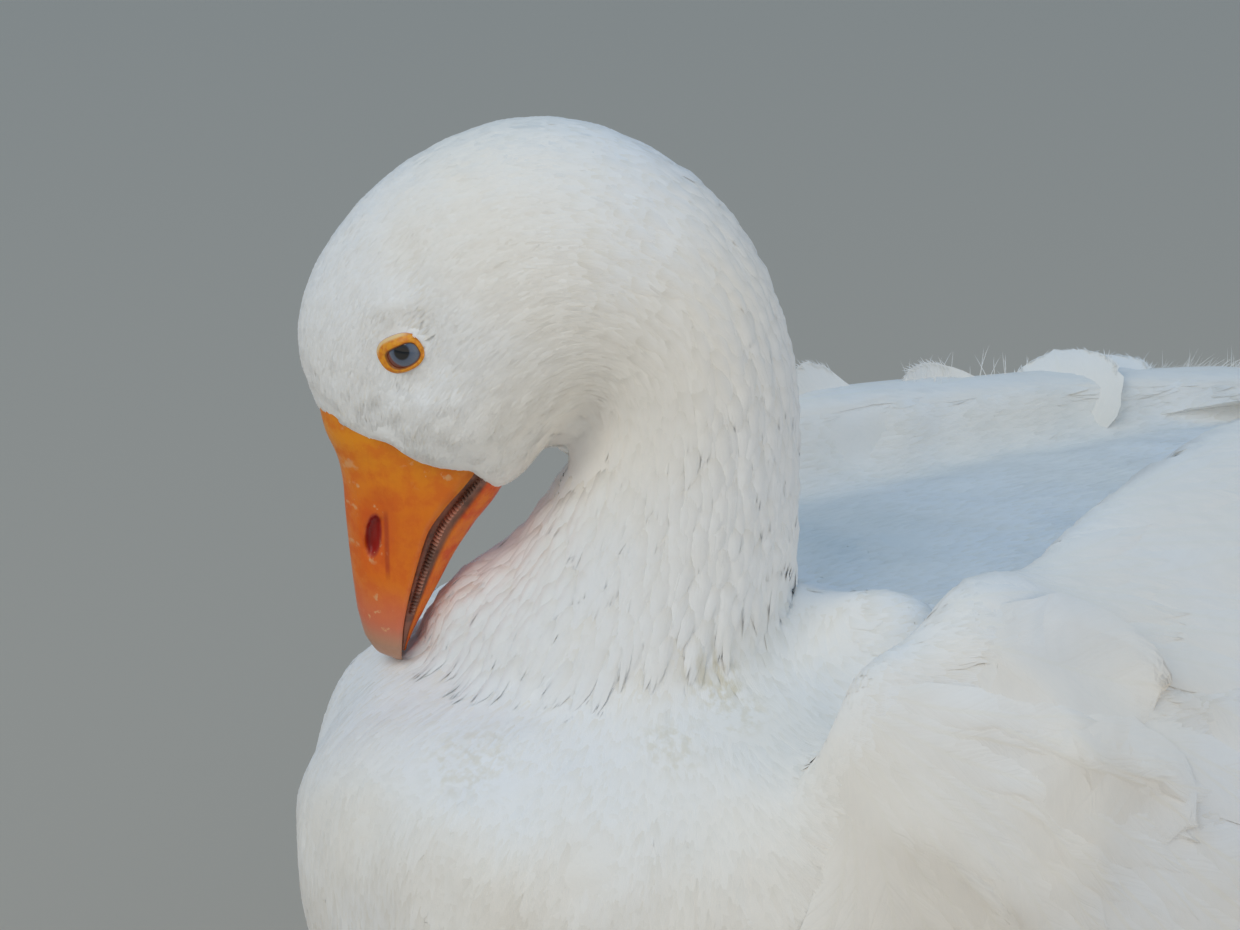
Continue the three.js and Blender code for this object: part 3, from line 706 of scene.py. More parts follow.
def flat_place(points, normals):
    row, turn, neck = neck_place(points, normals)
    u = np.where(neck, 0.02 + 0.28 * (turn / (2 * np.pi) + 0.5), 0)
    v = np.where(neck, 0.02 + 0.96 * row / NECK_END, 0)
    angle = np.arctan2(points[:, 0], points[:, 2] - 108)
    radial = unit(points * [1, 0, 1] - [0, 0, 108])
    hollow = ~neck & (np.sum(normals * radial, -1) < 0.15) & (points[:, 2] > 130)
    long = np.clip((points[:, 1] + 300) / 600, 0, 1)
    u = np.where(~neck & ~hollow, 0.34 + 0.36 * (angle / (2 * np.pi) + 0.5), u)
    u = np.where(hollow, 0.86 + 0.11 * np.clip(points[:, 0] / 110, -1, 1), u)
    v = np.where(neck, v, 0.02 + 0.96 * long)
    return np.stack([u, v], -1)


def joined_mesh(name, points, faces4, faces3, flat, vane=None, normals=None, under=None):
    """One mesh from corners, four-sided and three-sided faces, with a flat place for each corner."""
    mesh = bpy.data.meshes.new(name)
    loops = np.concatenate([faces4.ravel(), faces3.ravel()]).astype(np.int32)
    starts = np.concatenate([np.arange(len(faces4)) * 4, len(faces4) * 4 + np.arange(len(faces3)) * 3])
    starts = starts.astype(np.int32)
    mesh.vertices.add(len(points))
    mesh.loops.add(len(loops))
    mesh.polygons.add(len(starts))
    mesh.vertices.foreach_set("co", (points * MM).astype(np.float32).ravel())
    mesh.loops.foreach_set("vertex_index", loops)
    mesh.polygons.foreach_set("loop_start", starts)
    mesh.update(calc_edges=True)
    mesh.uv_layers.new(name="OFBake").data.foreach_set("uv", flat[loops].astype(np.float32).ravel())
    if vane is not None:
        mesh.uv_layers.new(name="Vane").data.foreach_set("uv", vane[loops].astype(np.float32).ravel())
    mesh.shade_smooth()
    if normals is not None:
        looks = np.where(under[:, None], -normals[loops], normals[loops])
        mesh.normals_split_custom_set(looks.astype(np.float32))
    return mesh


def lofted(rings, tips):
    """Corners and faces of many closed tapering solids, from rings (many, stations, around, 3) and
    tips (many, 3)."""
    many, stations, sides, _ = rings.shape
    each = stations * sides + 1
    points = np.concatenate([rings.reshape(many, -1, 3), tips[:, None]], 1).reshape(-1, 3)
    quads = [
        (k * sides + i, k * sides + (i + 1) % sides,
         (k + 1) * sides + (i + 1) % sides, (k + 1) * sides + i)
        for k in range(stations - 1) for i in range(sides)
    ]
    last = (stations - 1) * sides
    thirds = [(last + i, last + (i + 1) % sides, each - 1) for i in range(sides)]
    thirds += [(0, i + 1, i) for i in range(1, sides - 1)]
    shift = (np.arange(many) * each)[:, None, None]
    faces4 = (np.array(quads)[None] + shift).reshape(-1, 4) if quads else np.zeros((0, 4), int)
    faces3 = (np.array(thirds)[None] + shift).reshape(-1, 3)
    return points, faces4, faces3, each


def paths(root, near, weight, length, shares, yaw):
    """Lines that run over the hide from each root, turned by yaw from the lie: places, normals, ways."""
    at, spots, normals, ways = root, [], [], []
    for k, share in enumerate(shares):
        n = unit(there(soft_normal, near, weight))
        way = laid(there(lie, near, weight), n)
        way = way * np.cos(yaw)[:, None] + np.cross(n, way) * np.sin(yaw)[:, None]
        spots.append(at)
        normals.append(n)
        ways.append(way)
        if k < len(shares) - 1:
            ahead = at + way * (length * (shares[k + 1] - share))[:, None]
            at, near, weight = on_hide(ahead)
    return np.stack(spots, 1), np.stack(normals, 1), np.stack(ways, 1)


# ------------------------------------------------------------------ down of head, neck and body
# Short soft feathers, each a thin vane that lies on the one behind it. They are smallest round the eye
# and the bill, gather in pointed locks down the neck, and are longer and smooth on the body.
rng = np.random.default_rng(7)
COAT_LIMIT = 190000  # triangles in one piece of the coat
WAVE_COUNT = 26
WAVES = unit(rng.normal(size=(WAVE_COUNT, 3)))
WAVE_SHIFT = rng.uniform(0, 2 * np.pi, WAVE_COUNT)


def lumps_at(points, size):
    """A soft uneven height of about -1 to 1 at each point, and its slope, with lumps of a size."""
    pull = WAVES * (2 * np.pi / size) * np.linspace(0.75, 1.35, WAVE_COUNT)[:, None]
    phase = points @ pull.T + WAVE_SHIFT
    return np.sin(phase).sum(-1) / 3.6, (np.cos(phase) @ pull) / 3.6


def roots(chosen, density):
    """Roots spread over the faces of the hide, as many to a square millimetre as density says."""
    quad = skin_at[corners]
    area = 0.5 * (np.linalg.norm(np.cross(quad[:, 1] - quad[:, 0], quad[:, 2] - quad[:, 0]), axis=-1)
                  + np.linalg.norm(np.cross(quad[:, 2] - quad[:, 0], quad[:, 3] - quad[:, 0]), axis=-1))
    wanted = area * density[corners].mean(1) * chosen[corners].all(1)
    order = np.argsort(np.round(skin_at[corners[:, 0], 1] / 12) * 1e4 + skin_at[corners[:, 0], 2])
    total = np.cumsum(wanted[order]) + rng.random()
    count = np.diff(np.floor(np.concatenate([[0], total]))).astype(int)
    face = np.repeat(order, count)
    u, v = rng.random((2, len(face), 1))
    q = skin_at[corners[face]]
    at = (q[:, 0] * (1 - u) + q[:, 1] * u) * (1 - v) + (q[:, 3] * (1 - u) + q[:, 2] * u) * v
    return at, corners[face], weights(at, corners[face])


def vanes(name, rings, tips, normals, shade, place):
    """Joins many thin three-sided vanes, cut into pieces of a size, with undersides that look the
    other way."""
    many, stations = rings.shape[:2]
    points, faces4, faces3, each = lofted(rings, tips)
    f4, f3 = len(faces4) // many, len(faces3) // many
    under4 = np.repeat(np.arange(f4) % 3 == 2, 4)
    under3 = np.repeat(np.arange(f3) >= 2, 3)
    shade = unit(np.concatenate([shade.reshape(many, -1, 3), normals[:, -1:]], 1))
    across = np.append(np.tile(np.array([-1.0, 0, 1]), stations), 0)
    along = np.append(np.repeat(np.linspace(0, 1, stations + 1)[:-1], 3), 1)
    flat = place[:, None] + np.stack([across, along * 2 - 1], -1)[None] * PATCH
    vane = np.broadcast_to(np.stack([across * 0.5 + 0.5, along], -1), (many, each, 2))
    parts = int(np.ceil((f4 * 2 + f3) * many / COAT_LIMIT))
    for k in range(parts):
        a, b = many * k // parts, many * (k + 1) // parts
        mesh = joined_mesh(
            f"{name}_{k + 1}", points[a * each:b * each], faces4[a * f4:b * f4] - a * each,
            faces3[a * f3:b * f3] - a * each, flat[a:b].reshape(-1, 2), vane[a:b].reshape(-1, 2),
            shade[a:b].reshape(-1, 3), np.concatenate([np.tile(under4, b - a), np.tile(under3, b - a)]),
        )
        shown(f"{name}_{k + 1}", mesh, "plumage", plumage, smooth=False)


def tufts(name, root, near, weight, length, width, rise, tip,
          stations, yaw, thick, lump, lump_height, grain=0.05):
    """Single vanes from root to pointed tip. rise is how far the middle stands over the hide and tip how
    far the end does; the whole coat swells and sinks a little in soft lumps."""
    share = np.linspace(0, 1, stations + 1)
    spots, normals, ways = paths(root, near, weight, length, share, yaw)
    aside = np.cross(ways, normals)
    form = np.interp(share, [0, 0.45, 0.8, 1], [0.62, 1, 0.72, 0.0])
    bump, slope = lumps_at(spots, lump)
    lump_height = np.broadcast_to(lump_height, len(root))[:, None]
    lean = rng.normal(0, grain, (2, len(root), 1, 1))
    height = rise[:, None] + (tip - rise)[:, None] * ease(share, 0.5, 1.0)
    height = height - 0.3 * (share == 0) + lump_height * bump
    facing = unit(normals - (lump_height * 1.6)[..., None] * slope + aside * lean[0] + ways * lean[1])
    middle = spots + normals * height[..., None]
    half = (width / 2)[:, None] * form
    low = middle - normals * (0.75 * np.maximum(height, 0) + 0.06)[..., None]
    left, right = low - aside * half[..., None], low + aside * half[..., None]
    rings = np.stack([left, middle + normals * (thick * form)[None, :, None], right], 2)[:, :-1]
    shade = np.stack([facing - aside * 0.08, facing, facing + aside * 0.08], 2)[:, :-1]
    vanes(name, rings, middle[:, -1], facing, shade, flat_place(root, normals[:, 0]))


LOCK_STATIONS, LOCK_POINT, LOCK_SPLIT = 4, 0.15, 0.15  # steps, breadth of the tip, how far hairs stray


def locks(name, root, near, weight, length, width, rise, swell, hairs, hair_width, yaw, lean):
    """Pointed locks of many thin barbs side by side over a rounded back, drawn together at the tip."""
    share = np.linspace(0, 1, LOCK_STATIONS + 1)
    spots, normals, ways = paths(root, near, weight, length, share, yaw)
    aside = np.cross(ways, normals)
    form = np.interp(share, [0, 0.3, 0.65, 1], [0.55, 1, 0.85, LOCK_POINT])
    back = np.interp(share, [0, 0.25, 0.5, 0.75, 1], [-0.9, 0.35, 1, 0.72, -0.12])
    v = np.linspace(-1, 1, hairs)[None, :] + rng.normal(0, 0.05, (len(root), hairs))
    reach = 1 - 0.22 * np.abs(v) ** 1.5 + rng.normal(0, 0.05, v.shape)
    rep = lambda x: np.repeat(x, hairs, 0)
    v, reach = v.reshape(-1), reach.reshape(-1)
    spots, normals, ways, aside = rep(spots), rep(normals), rep(ways), rep(aside)
    length, width, rise, swell, lean = rep(length), rep(width), rep(rise), rep(swell), rep(lean)
    stray = rng.normal(0, LOCK_SPLIT, len(v))
    offset = (width / 2)[:, None] * (v[:, None] * form + stray[:, None] * share**2)
    height = rise[:, None] * ease(share, -0.1, 0.3) + swell[:, None] * back * (1 - 0.85 * v[:, None] ** 2)
    height = height - 0.7 * (share == 0) + np.abs(stray)[:, None] * share**3
    pulled = ways * ((reach - 1) * length)[:, None, None] * (share**2)[None, :, None]
    middle = spots + aside * offset[..., None] + normals * height[..., None] + pulled
    thin = (hair_width / 2) * np.interp(share, [0, 0.6, 0.85, 1], [0.7, 1.0, 0.8, 0.1])
    flank = -1.7 * (swell * v)[:, None] * back / np.maximum((width / 2)[:, None] * form, 0.4)
    edge = (aside + normals * np.clip(flank, -0.9, 0.9)[..., None]) * thin[None, :, None]
    low = middle - normals * 0.14
    rings = np.stack([low - edge, middle + normals * (0.12 * hair_width), low + edge], 2)[:, :-1]
    leaning = (lean * v)[:, None] * np.interp(share, [0, 0.4, 1], [0.4, 1, 0.9])
    tilt = normals + aside * leaning[..., None]
    shade = np.stack([tilt - aside * 0.14, tilt, tilt + aside * 0.14], 2)[:, :-1]
    vanes(name, rings, middle[:, -1], normals, shade, rep(flat_place(root, normals[::hairs, 0])))


local = skin_at - NECK_FOOT
reach, rise_, side_ = local @ FORWARD, local @ UPWARD, local @ LEFTWARD
out, up = bill_axes(reach, rise_)
feathered = ~(on_neck & (out > np.interp(up, FEATHER_LINE[:, 0], FEATHER_LINE[:, 1]) + 0.3) & (row < 1.8))
eye_gap = np.linalg.norm(np.stack([reach - 59.6, rise_ - 39.3, np.abs(side_) - 25.3], -1), axis=1)
LID_MIDDLE, LID_SLANT = (58.9, 38.4), math.radians(31)  # reach and rise; slant of the lids in the face
BARE = (5.5, 4.1)  # half length and half height of the bare place under the lids
eye_long = (reach - LID_MIDDLE[0]) * math.cos(LID_SLANT) - (rise_ - LID_MIDDLE[1]) * math.sin(LID_SLANT)
eye_high = (reach - LID_MIDDLE[0]) * math.sin(LID_SLANT) + (rise_ - LID_MIDDLE[1]) * math.cos(LID_SLANT)
feathered &= ~(((eye_long / BARE[0]) ** 2 + (eye_high / BARE[1]) ** 2 < 1) & (eye_gap < 9))
# In the narrow nook between throat and neck there is no room for down.
NOOK, NOOK_ROUND, NOOK_BARE, NOOK_ROOM = np.array([-2.0, -212, 260]), 26, 11, 9  # place, two radii, width
crowded = np.zeros(len(skin_at))
for i in np.flatnonzero(on_neck & (np.linalg.norm(skin_at - NOOK, axis=1) < NOOK_ROUND)):
    hit = hide.ray_cast(Vector(skin_at[i] + skin_normal[i] * 0.4), Vector(skin_normal[i]), NOOK_ROOM)
    crowded[i] = hit[0] is not None
feathered &= smoothed(crowded, 5) < 0.04
feathered &= np.linalg.norm(skin_at - NOOK - [0, 0, 1], axis=1) > NOOK_BARE
neck_ends = 10.6 + 1.7 * (1 - np.cos(turn)) / 2
neck_share = on_neck * ease(row, 4.6, 6.4) * (1 - ease(row, neck_ends - 0.2, neck_ends + 0.2))
body_share = 1 - on_neck * (1 - ease(row, 10.8, 12.2))

size = 1 + 1.2 * ease(row, 2, 5.5) + 0.35 * ease(eye_gap, 6, 16)
thinning = 0.25 + 0.75 * ease(-row, -6.4, -4.6)
at, near, weight = roots(feathered & on_neck & (row < 6.4), 1.9 / size**1.3 * thinning)
s = there(size, near, weight)
many = len(at)
tufts("head_down", at, near, weight,
      4.0 * s * rng.uniform(0.8, 1.25, many), 0.95 * s**0.7 * rng.uniform(0.8, 1.2, many),
      rng.uniform(0.12, 0.2, many), rng.uniform(0.0, 0.1, many),
      stations=2, yaw=rng.normal(0, 0.14, many), thick=0.05,
      lump=7, lump_height=0.05 + 0.1 * there(ease(-rise_, -34, -16), near, weight), grain=0.09)
per_area = 0.17 * body_share * (0.5 + 0.5 * ease(skin_at[:, 2], 10, 60)) + 0.01
at, near, weight = roots(feathered & (~on_neck | (row > 10.6)), per_area)
many = len(at)
tufts("body_down", at, near, weight, rng.uniform(11, 18, many), rng.uniform(3.0, 4.8, many),
      rng.uniform(0.2, 0.4, many), rng.uniform(0.0, 0.2, many),
      stations=3, yaw=rng.normal(0, 0.12, many), thick=0.08, lump=26, lump_height=0.25)

at, near, weight = roots(feathered & on_neck & (row > 5) & (row < 12.8), 0.16 * neck_share)
many, grown = len(at), ease(there(row, near, weight), 4.6, 9.5)
tufts("neck_down", at, near, weight, rng.uniform(8, 12, many), rng.uniform(2.6, 3.8, many),
      0.2 + 0.3 * grown * rng.uniform(0.6, 1, many),
      0.05 + 0.1 * grown, stations=3, yaw=rng.normal(0, 0.1, many), thick=0.08, lump=20, lump_height=0.1)

locked = feathered & on_neck & (row > 5.4) & (row < 12.8)
at, near, weight = roots(locked, 0.072 * neck_share * ease(row, 5.4, 7.5))
many = len(at)
place = there(row, near, weight)
grown = ease(place, 5.6, 9.5)
locks("neck_locks", at, near, weight,
      (10 + 8 * grown) * rng.uniform(0.8, 1.25, many), (3.2 + 2.2 * grown) * rng.uniform(0.8, 1.2, many),
      -0.08 + 0.14 * rng.random(many), (0.3 + 1.0 * grown) * rng.uniform(0.6, 1.3, many),
      hairs=9, hair_width=1.6, yaw=rng.normal(0, 0.09, many), lean=0.2 + 0.6 * grown)

# ------------------------------------------------------------------ bill
# Orange horn over bone, in two halves that shut on rows of fine plates. The nostril is a slit in a
# long shallow pit, and the nail is a paler plate round the tip.
BILL_STATIONS, BILL_AROUND = 84, 56
NOSTRIL = (20.0, 7.8, 11.5, 3.8)  # out, height, length, breadth of the slit
PIT = (18.5, 7.0, 27.0, 10.5)  # and of the pit round it
BILL_MAP = 100  # millimetres of the bill to the breadth of its flat map


def nostril_depth(out, up):
    along = (out - NOSTRIL[0]) / (NOSTRIL[2] / 2)
    high = (up - NOSTRIL[1] - 0.06 * (out - NOSTRIL[0])) / (NOSTRIL[3] / 2)
    slit = ease(-(along**2 + high**2), -1.3, -0.5)
    along, high = (out - PIT[0]) / (PIT[2] / 2), (up - PIT[1]) / (PIT[3] / 2)
    pit = ease(-(along**2 + high**2), -1.0, -0.1)
    onward = np.clip((out - 12.5) / 18, 0, 1)
    line = 5.4 - 1.6 * onward + 0.5 * np.sin(onward * np.pi)
    groove = ease(-np.abs(up - line), -0.9, -0.1) * ease(out, 11, 15) * ease(-out, -33, -27)
    return slit, pit + 0.75 * groove


round_tip = 50 + 5.6 * np.sin(np.linspace(0.1, 1, 14) * np.pi / 2)
outs = np.concatenate([np.linspace(-13.5, 50, BILL_STATIONS), round_tip])
upper_rings, lower_rings, upper_flat, lower_flat = [], [], [], []
for out_, (_, culmen, edge, under, wide, narrow) in zip(outs, bill_row(outs)):
    n = np.interp(out_, [-14, 10, 40], [2.9, 2.4, 2.0])
    a = np.linspace(0, np.pi, BILL_AROUND)
    s = wide * np.sign(np.cos(a)) * np.abs(np.cos(a)) ** (2 / n)
    u = edge + (culmen - edge) * np.abs(np.sin(a)) ** (2 / n)
    slit, pit = nostril_depth(out_, u)
    mid = ease(np.abs(s), 0.3 * wide, 0.75 * wide)
    s = s - np.sign(s) * (0.8 * pit + 2.6 * slit) * mid
    s = s + np.sign(s) * 0.45 * ease(-np.abs(u - edge - 1.2), -1.6, 0) * ease(out_, 0, 14)
    palate = np.linspace(-1, 1, 14)[1:-1]
    s = np.concatenate([s, palate * wide * 0.93])
    u = np.concatenate([u, edge + 0.22 * (culmen - edge) * (1 - palate**2) + 0.2])
    upper_rings.append(on_bill(out_, u, s))
    upper_flat.append(np.stack([out_ + 0 * u, u], -1))
    if out_ <= 53.5:
        a = np.linspace(np.pi, 2 * np.pi, 40)
        low = np.abs(np.sin(a))
        s = narrow * np.sign(np.cos(a)) * np.abs(np.cos(a)) ** (2 / 2.2)
        u = edge - 0.15 + (under - edge) * low ** (2 / 2.2)
        s = s * (1 - 0.12 * (1 - ease(low, 0.40, 0.52)) * ease(out_, -2, 8))
        tongue = np.linspace(1, -1, 10)[1:-1]
        s = np.concatenate([s, tongue * narrow * 0.8])
        u = np.concatenate([u, edge + 0.15 + 0 * tongue])
        lower_rings.append(on_bill(out_, u, s))
        lower_flat.append(np.stack([out_ + 0 * u, np.concatenate([low, 0 * tongue]) * 10], -1))


def laid_flat(mesh, name, flat):
    """Gives the mesh a flat map, with a place for each of its corners."""
    loops = np.zeros(len(mesh.loops), np.int32)
    mesh.loops.foreach_get("vertex_index", loops)
    mesh.uv_layers.new(name=name).data.foreach_set("uv", flat[loops].astype(np.float32).ravel())


def horn_piece(name, rings, flat, material):
    """A closed loft of the bill that keeps how far out and how high each of its corners lies."""
    rings, flat = np.array(rings), np.array(flat).reshape(-1, 2)
    mesh = bpy.data.meshes.new(name)
    mesh.from_pydata((rings.reshape(-1, 3) * MM).tolist(), [], ring_faces(rings.shape[0], rings.shape[1]))
    laid_flat(mesh, "Bill", flat / BILL_MAP + 0.5)
    return shown(name, looking_out(mesh), "horn", material)


def ellipse_mask(tree, across, along, spot, low, high):
    """1 inside an oval of the bill, falling off from high to low of its size."""
    a = maths(tree, "DIVIDE", maths(tree, "SUBTRACT", across, spot[0] / 100 + 0.5), spot[2] / 200)
    b = maths(tree, "DIVIDE", maths(tree, "SUBTRACT", along, spot[1] / 100 + 0.5), spot[3] / 200)
    size = maths(tree, "ADD", product(tree, a, a), product(tree, b, b))
    return between(tree, size, low, high, 1, 0)


ORANGE, YELLOW_ORANGE, RED_ORANGE = (0.86, 0.20, 0.004), (0.90, 0.33, 0.006), (0.74, 0.085, 0.005)
PINK_HORN, NAIL = (0.74, 0.19, 0.095), (0.56, 0.29, 0.18)
SLIT_RED, SCUFF = (0.36, 0.016, 0.010), (0.84, 0.50, 0.24)
horn, tree, shader = new_material("bill horn", 0.4)
place, along, across = uv_place(tree, "Bill")
where = object_place(tree)
mottle = between(tree, noise(tree, where, 190, 4, 0.6), 0.38, 0.66)
colour = mixed(tree, between(tree, along, 0.40, 0.66, 0.85, 0.0), ORANGE, YELLOW_ORANGE)
colour = mixed(tree, product(tree, mottle, 0.45), colour, RED_ORANGE)
colour = mixed(tree, between(tree, along, 0.80, 0.97), colour, PINK_HORN)
colour = mixed(tree, between(tree, along, 0.93, 1.01), colour, NAIL)
round_slit = product(tree, ellipse_mask(tree, along, across, (19, 7.2, 30, 14), 0.2, 1.0), 0.45)
colour = mixed(tree, round_slit, colour, RED_ORANGE)
colour = mixed(tree, ellipse_mask(tree, along, across, NOSTRIL, 0.75, 1.5), colour, SLIT_RED)
# Painted shade: a thin dark red line along the groove beside the nostril.
fold = maths(tree, "SUBTRACT", across, maths(tree, "SUBTRACT", 0.565, product(tree, along, 0.02)))
fold = maths(tree, "ADD", fold, product(tree, maths(tree, "SUBTRACT", along, 0.625), 0.085))
on_crease = between(tree, maths(tree, "ABSOLUTE", fold), 0.002, 0.009, 1, 0)
crease_ends = product(tree, between(tree, along, 0.61, 0.65), between(tree, along, 0.77, 0.83, 1, 0))
crease_shade = product(tree, on_crease, crease_ends)
colour = mixed(tree, product(tree, crease_shade, 0.6), colour, (0.42, 0.03, 0.006))
scuffs = between(tree, noise(tree, where, 330, 3, 0.6), 0.60, 0.68)
patch = between(tree, noise(tree, where, 75, 1), 0.52, 0.66)
colour = mixed(tree, product(tree, product(tree, scuffs, patch), 0.7), colour, SCUFF)
for spot in ((1.5, 15.5, 4.0, 5.0), (14, 14.0, 3.0, 4.0), (24, 12.5, 2.4, 3.2)):
    patchy = between(tree, noise(tree, where, 420, 2), 0.4, 0.6)
    ring = product(tree, ellipse_mask(tree, along, across, spot, 0.7, 1.3), patchy)
    colour = mixed(tree, product(tree, ring, 0.5), colour, SCUFF)
feed(tree, shader.inputs["Base Color"], colour)
feed(tree, shader.inputs["Roughness"], between(tree, mottle, 0, 1, 0.36, 0.55))
fine_pits = noise(tree, where, 500, 3)
grain = product(tree, noise(tree, stretched(tree, where, (1, 1, 0.3)), 1500, 2), 0.4)
pits = maths(tree, "ADD", fine_pits, grain)
bumped(tree, shader, pits, 0.28, 0.0006)

lower_horn, tree, shader = new_material("lower bill horn", 0.42)
place, along, across = uv_place(tree, "Bill")
where = object_place(tree)
mottle = between(tree, noise(tree, where, 190, 4, 0.6), 0.38, 0.66)
colour = mixed(tree, mottle, ORANGE, RED_ORANGE)
# Painted shade: a dark brown band high on the lower bill and over the tongue, where it tucks in under the
# edge of the upper.
under_edge_shade = between(tree, across, 0.540, 0.552, 1, 0)
colour = mixed(tree, under_edge_shade, colour, mixed(tree, mottle, (0.36, 0.15, 0.095), (0.17, 0.085, 0.06)))
feed(tree, shader.inputs["Base Color"], colour)
bumped(tree, shader, noise(tree, where, 700, 3), 0.3, 0.0006)

bill_upper = horn_piece("bill_upper", upper_rings, upper_flat, horn)
bill_lower = horn_piece("bill_lower", lower_rings, lower_flat, lower_horn)
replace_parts(bill_upper, "bill_upper")
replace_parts(bill_lower, "bill_lower")

# ------------------------------------------------------------------ plates of the bill
# Stiff little plates of horn along both sides of the mouth, which strain water and clip grass. They
# stand side by side from the gape to near the tip.
PLATE_COUNT, PLATE_THICK = 44, 0.85
rail_outs = np.linspace(-1.0, 41, 60)
_, _, edge, under, _, narrow = np.moveaxis(bill_row(rail_outs), -1, 0)
drop = (under - edge) * 0.22
rails = []
for side in (1, -1):
    rails.append(on_bill(rail_outs, edge - 0.5 + drop, side * narrow * 0.9))
rail_mesh = bpy.data.meshes.new("plates")
points = np.concatenate(rails) * MM
rail_edges = [(k, k + 1) for k in range(59)] + [(k, k + 1) for k in range(60, 119)]
rail_mesh.from_pydata(points.tolist(), rail_edges, [])
plates = shown("bill_plates", rail_mesh, None, smooth=False)
plate_finish, tree, shader = new_material("bill plates", 0.5)
where = object_place(tree)
mottle = between(tree, noise(tree, where, 160, 2), 0.4, 0.62)
feed(tree, shader.inputs["Base Color"], mixed(tree, mottle, (0.17, 0.09, 0.065), (0.56, 0.25, 0.17)))
bumped(tree, shader, noise(tree, where, 900, 2), 0.3, 0.0004)
row_of = bpy.data.node_groups.new("row of plates", "GeometryNodeTree")
row_of.interface.new_socket("Geometry", in_out="INPUT", socket_type="NodeSocketGeometry")
row_of.interface.new_socket("Geometry", in_out="OUTPUT", socket_type="NodeSocketGeometry")
sizes = {
    "Count": ("NodeSocketInt", PLATE_COUNT),
    "Thick": ("NodeSocketFloat", PLATE_THICK * MM),
    "Tall": ("NodeSocketFloat", 4.6 * MM),
    "Deep": ("NodeSocketFloat", 1.6 * MM),
}
keys = {}
for title, (kind, value) in sizes.items():
    made = row_of.interface.new_socket(title, in_out="INPUT", socket_type=kind)
    made.default_value, keys[title] = value, made.identifier
ins, outs_ = row_of.nodes.new("NodeGroupInput"), row_of.nodes.new("NodeGroupOutput")
curve = row_of.nodes.new("GeometryNodeMeshToCurve")
even = row_of.nodes.new("GeometryNodeResampleCurve")
plate = row_of.nodes.new("GeometryNodeMeshIcoSphere")
plate.inputs["Subdivisions"].default_value = 2
plate.inputs["Radius"].default_value = 0.5
shape_of = row_of.nodes.new("ShaderNodeCombineXYZ")
put = row_of.nodes.new("GeometryNodeInstanceOnPoints")
turned = row_of.nodes.new("FunctionNodeAlignRotationToVector")
turned.axis = "X"
tangent = row_of.nodes.new("GeometryNodeInputTangent")
real = row_of.nodes.new("GeometryNodeRealizeInstances")
coloured = row_of.nodes.new("GeometryNodeSetMaterial")
coloured.inputs["Material"].default_value = plate_finish
tapered = row_of.nodes.new("GeometryNodeSplineParameter")
shorter = row_of.nodes.new("ShaderNodeMapRange")
shorter.inputs[3].default_value, shorter.inputs[4].default_value = 1.0, 0.35
for a, b in (
    (ins.outputs["Geometry"], curve.inputs[0]), (curve.outputs[0], even.inputs["Curve"]),
    (ins.outputs["Count"], even.inputs["Count"]), (even.outputs[0], put.inputs["Points"]),
    (plate.outputs["Mesh"], put.inputs["Instance"]), (tangent.outputs[0], turned.inputs["Vector"]),
    (turned.outputs[0], put.inputs["Rotation"]), (ins.outputs["Thick"], shape_of.inputs[0]),
    (ins.outputs["Deep"], shape_of.inputs[1]), (tapered.outputs["Factor"], shorter.inputs[0]),
    (put.outputs[0], real.inputs[0]), (real.outputs[0], coloured.inputs[0]),
    (coloured.outputs[0], outs_.inputs[0]), (shape_of.outputs[0], put.inputs["Scale"]),
):
    row_of.links.new(a, b)
tall = row_of.nodes.new("ShaderNodeMath")
tall.operation = "MULTIPLY"
row_of.links.new(ins.outputs["Tall"], tall.inputs[0])
row_of.links.new(shorter.outputs[0], tall.inputs[1])
row_of.links.new(tall.outputs[0], shape_of.inputs[2])
set_up = plates.modifiers.new("row", "NODES")
set_up.node_group = row_of
for title, (kind, value) in sizes.items():
    set_up[keys[title]] = value
applied(plates)
plates.data.shade_smooth()
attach(plates, "root")

# ------------------------------------------------------------------ eyes
# Wet balls deep in the head, with a dark pupil in a blue-grey iris and a red inner corner.
GAZE = (0.31, 0.15, 0.94)  # forward, up, outward
PUPIL, IRIS = 2.1, 4.1  # radii
IRIS_MAP = 20  # breadth of the ball's front on its flat map
eye_finish, tree, shader = new_material("eye", 0.06)
place, across, along = uv_place(tree, "Iris")
far = product(tree, away_from(tree, place, (0.5, 0.5, 0)), IRIS_MAP)
rim = product(tree, away_from(tree, place, (0.525, 0.52, 0)), IRIS_MAP)
rays = noise(tree, stretched(tree, place, (60, 60, 1)), 1, 3)
colour = mixed(tree, between(tree, far, PUPIL, IRIS), (0.10, 0.13, 0.19), (0.20, 0.23, 0.29))
colour = mixed(tree, product(tree, rays, 0.5), colour, (0.06, 0.08, 0.13))
colour = mixed(tree, between(tree, far, PUPIL - 0.35, PUPIL + 0.25, 1, 0), colour, (0.004, 0.004, 0.006))
colour = mixed(tree, between(tree, rim, IRIS - 0.3, IRIS + 0.3), colour, (0.20, 0.04, 0.02))
feed(tree, shader.inputs["Base Color"], colour)
shader.inputs["Coat Weight"].default_value = 0.6
shader.inputs["Coat Roughness"].default_value = 0.03
bumped(tree, shader, rays, 0.05, 0.0002)
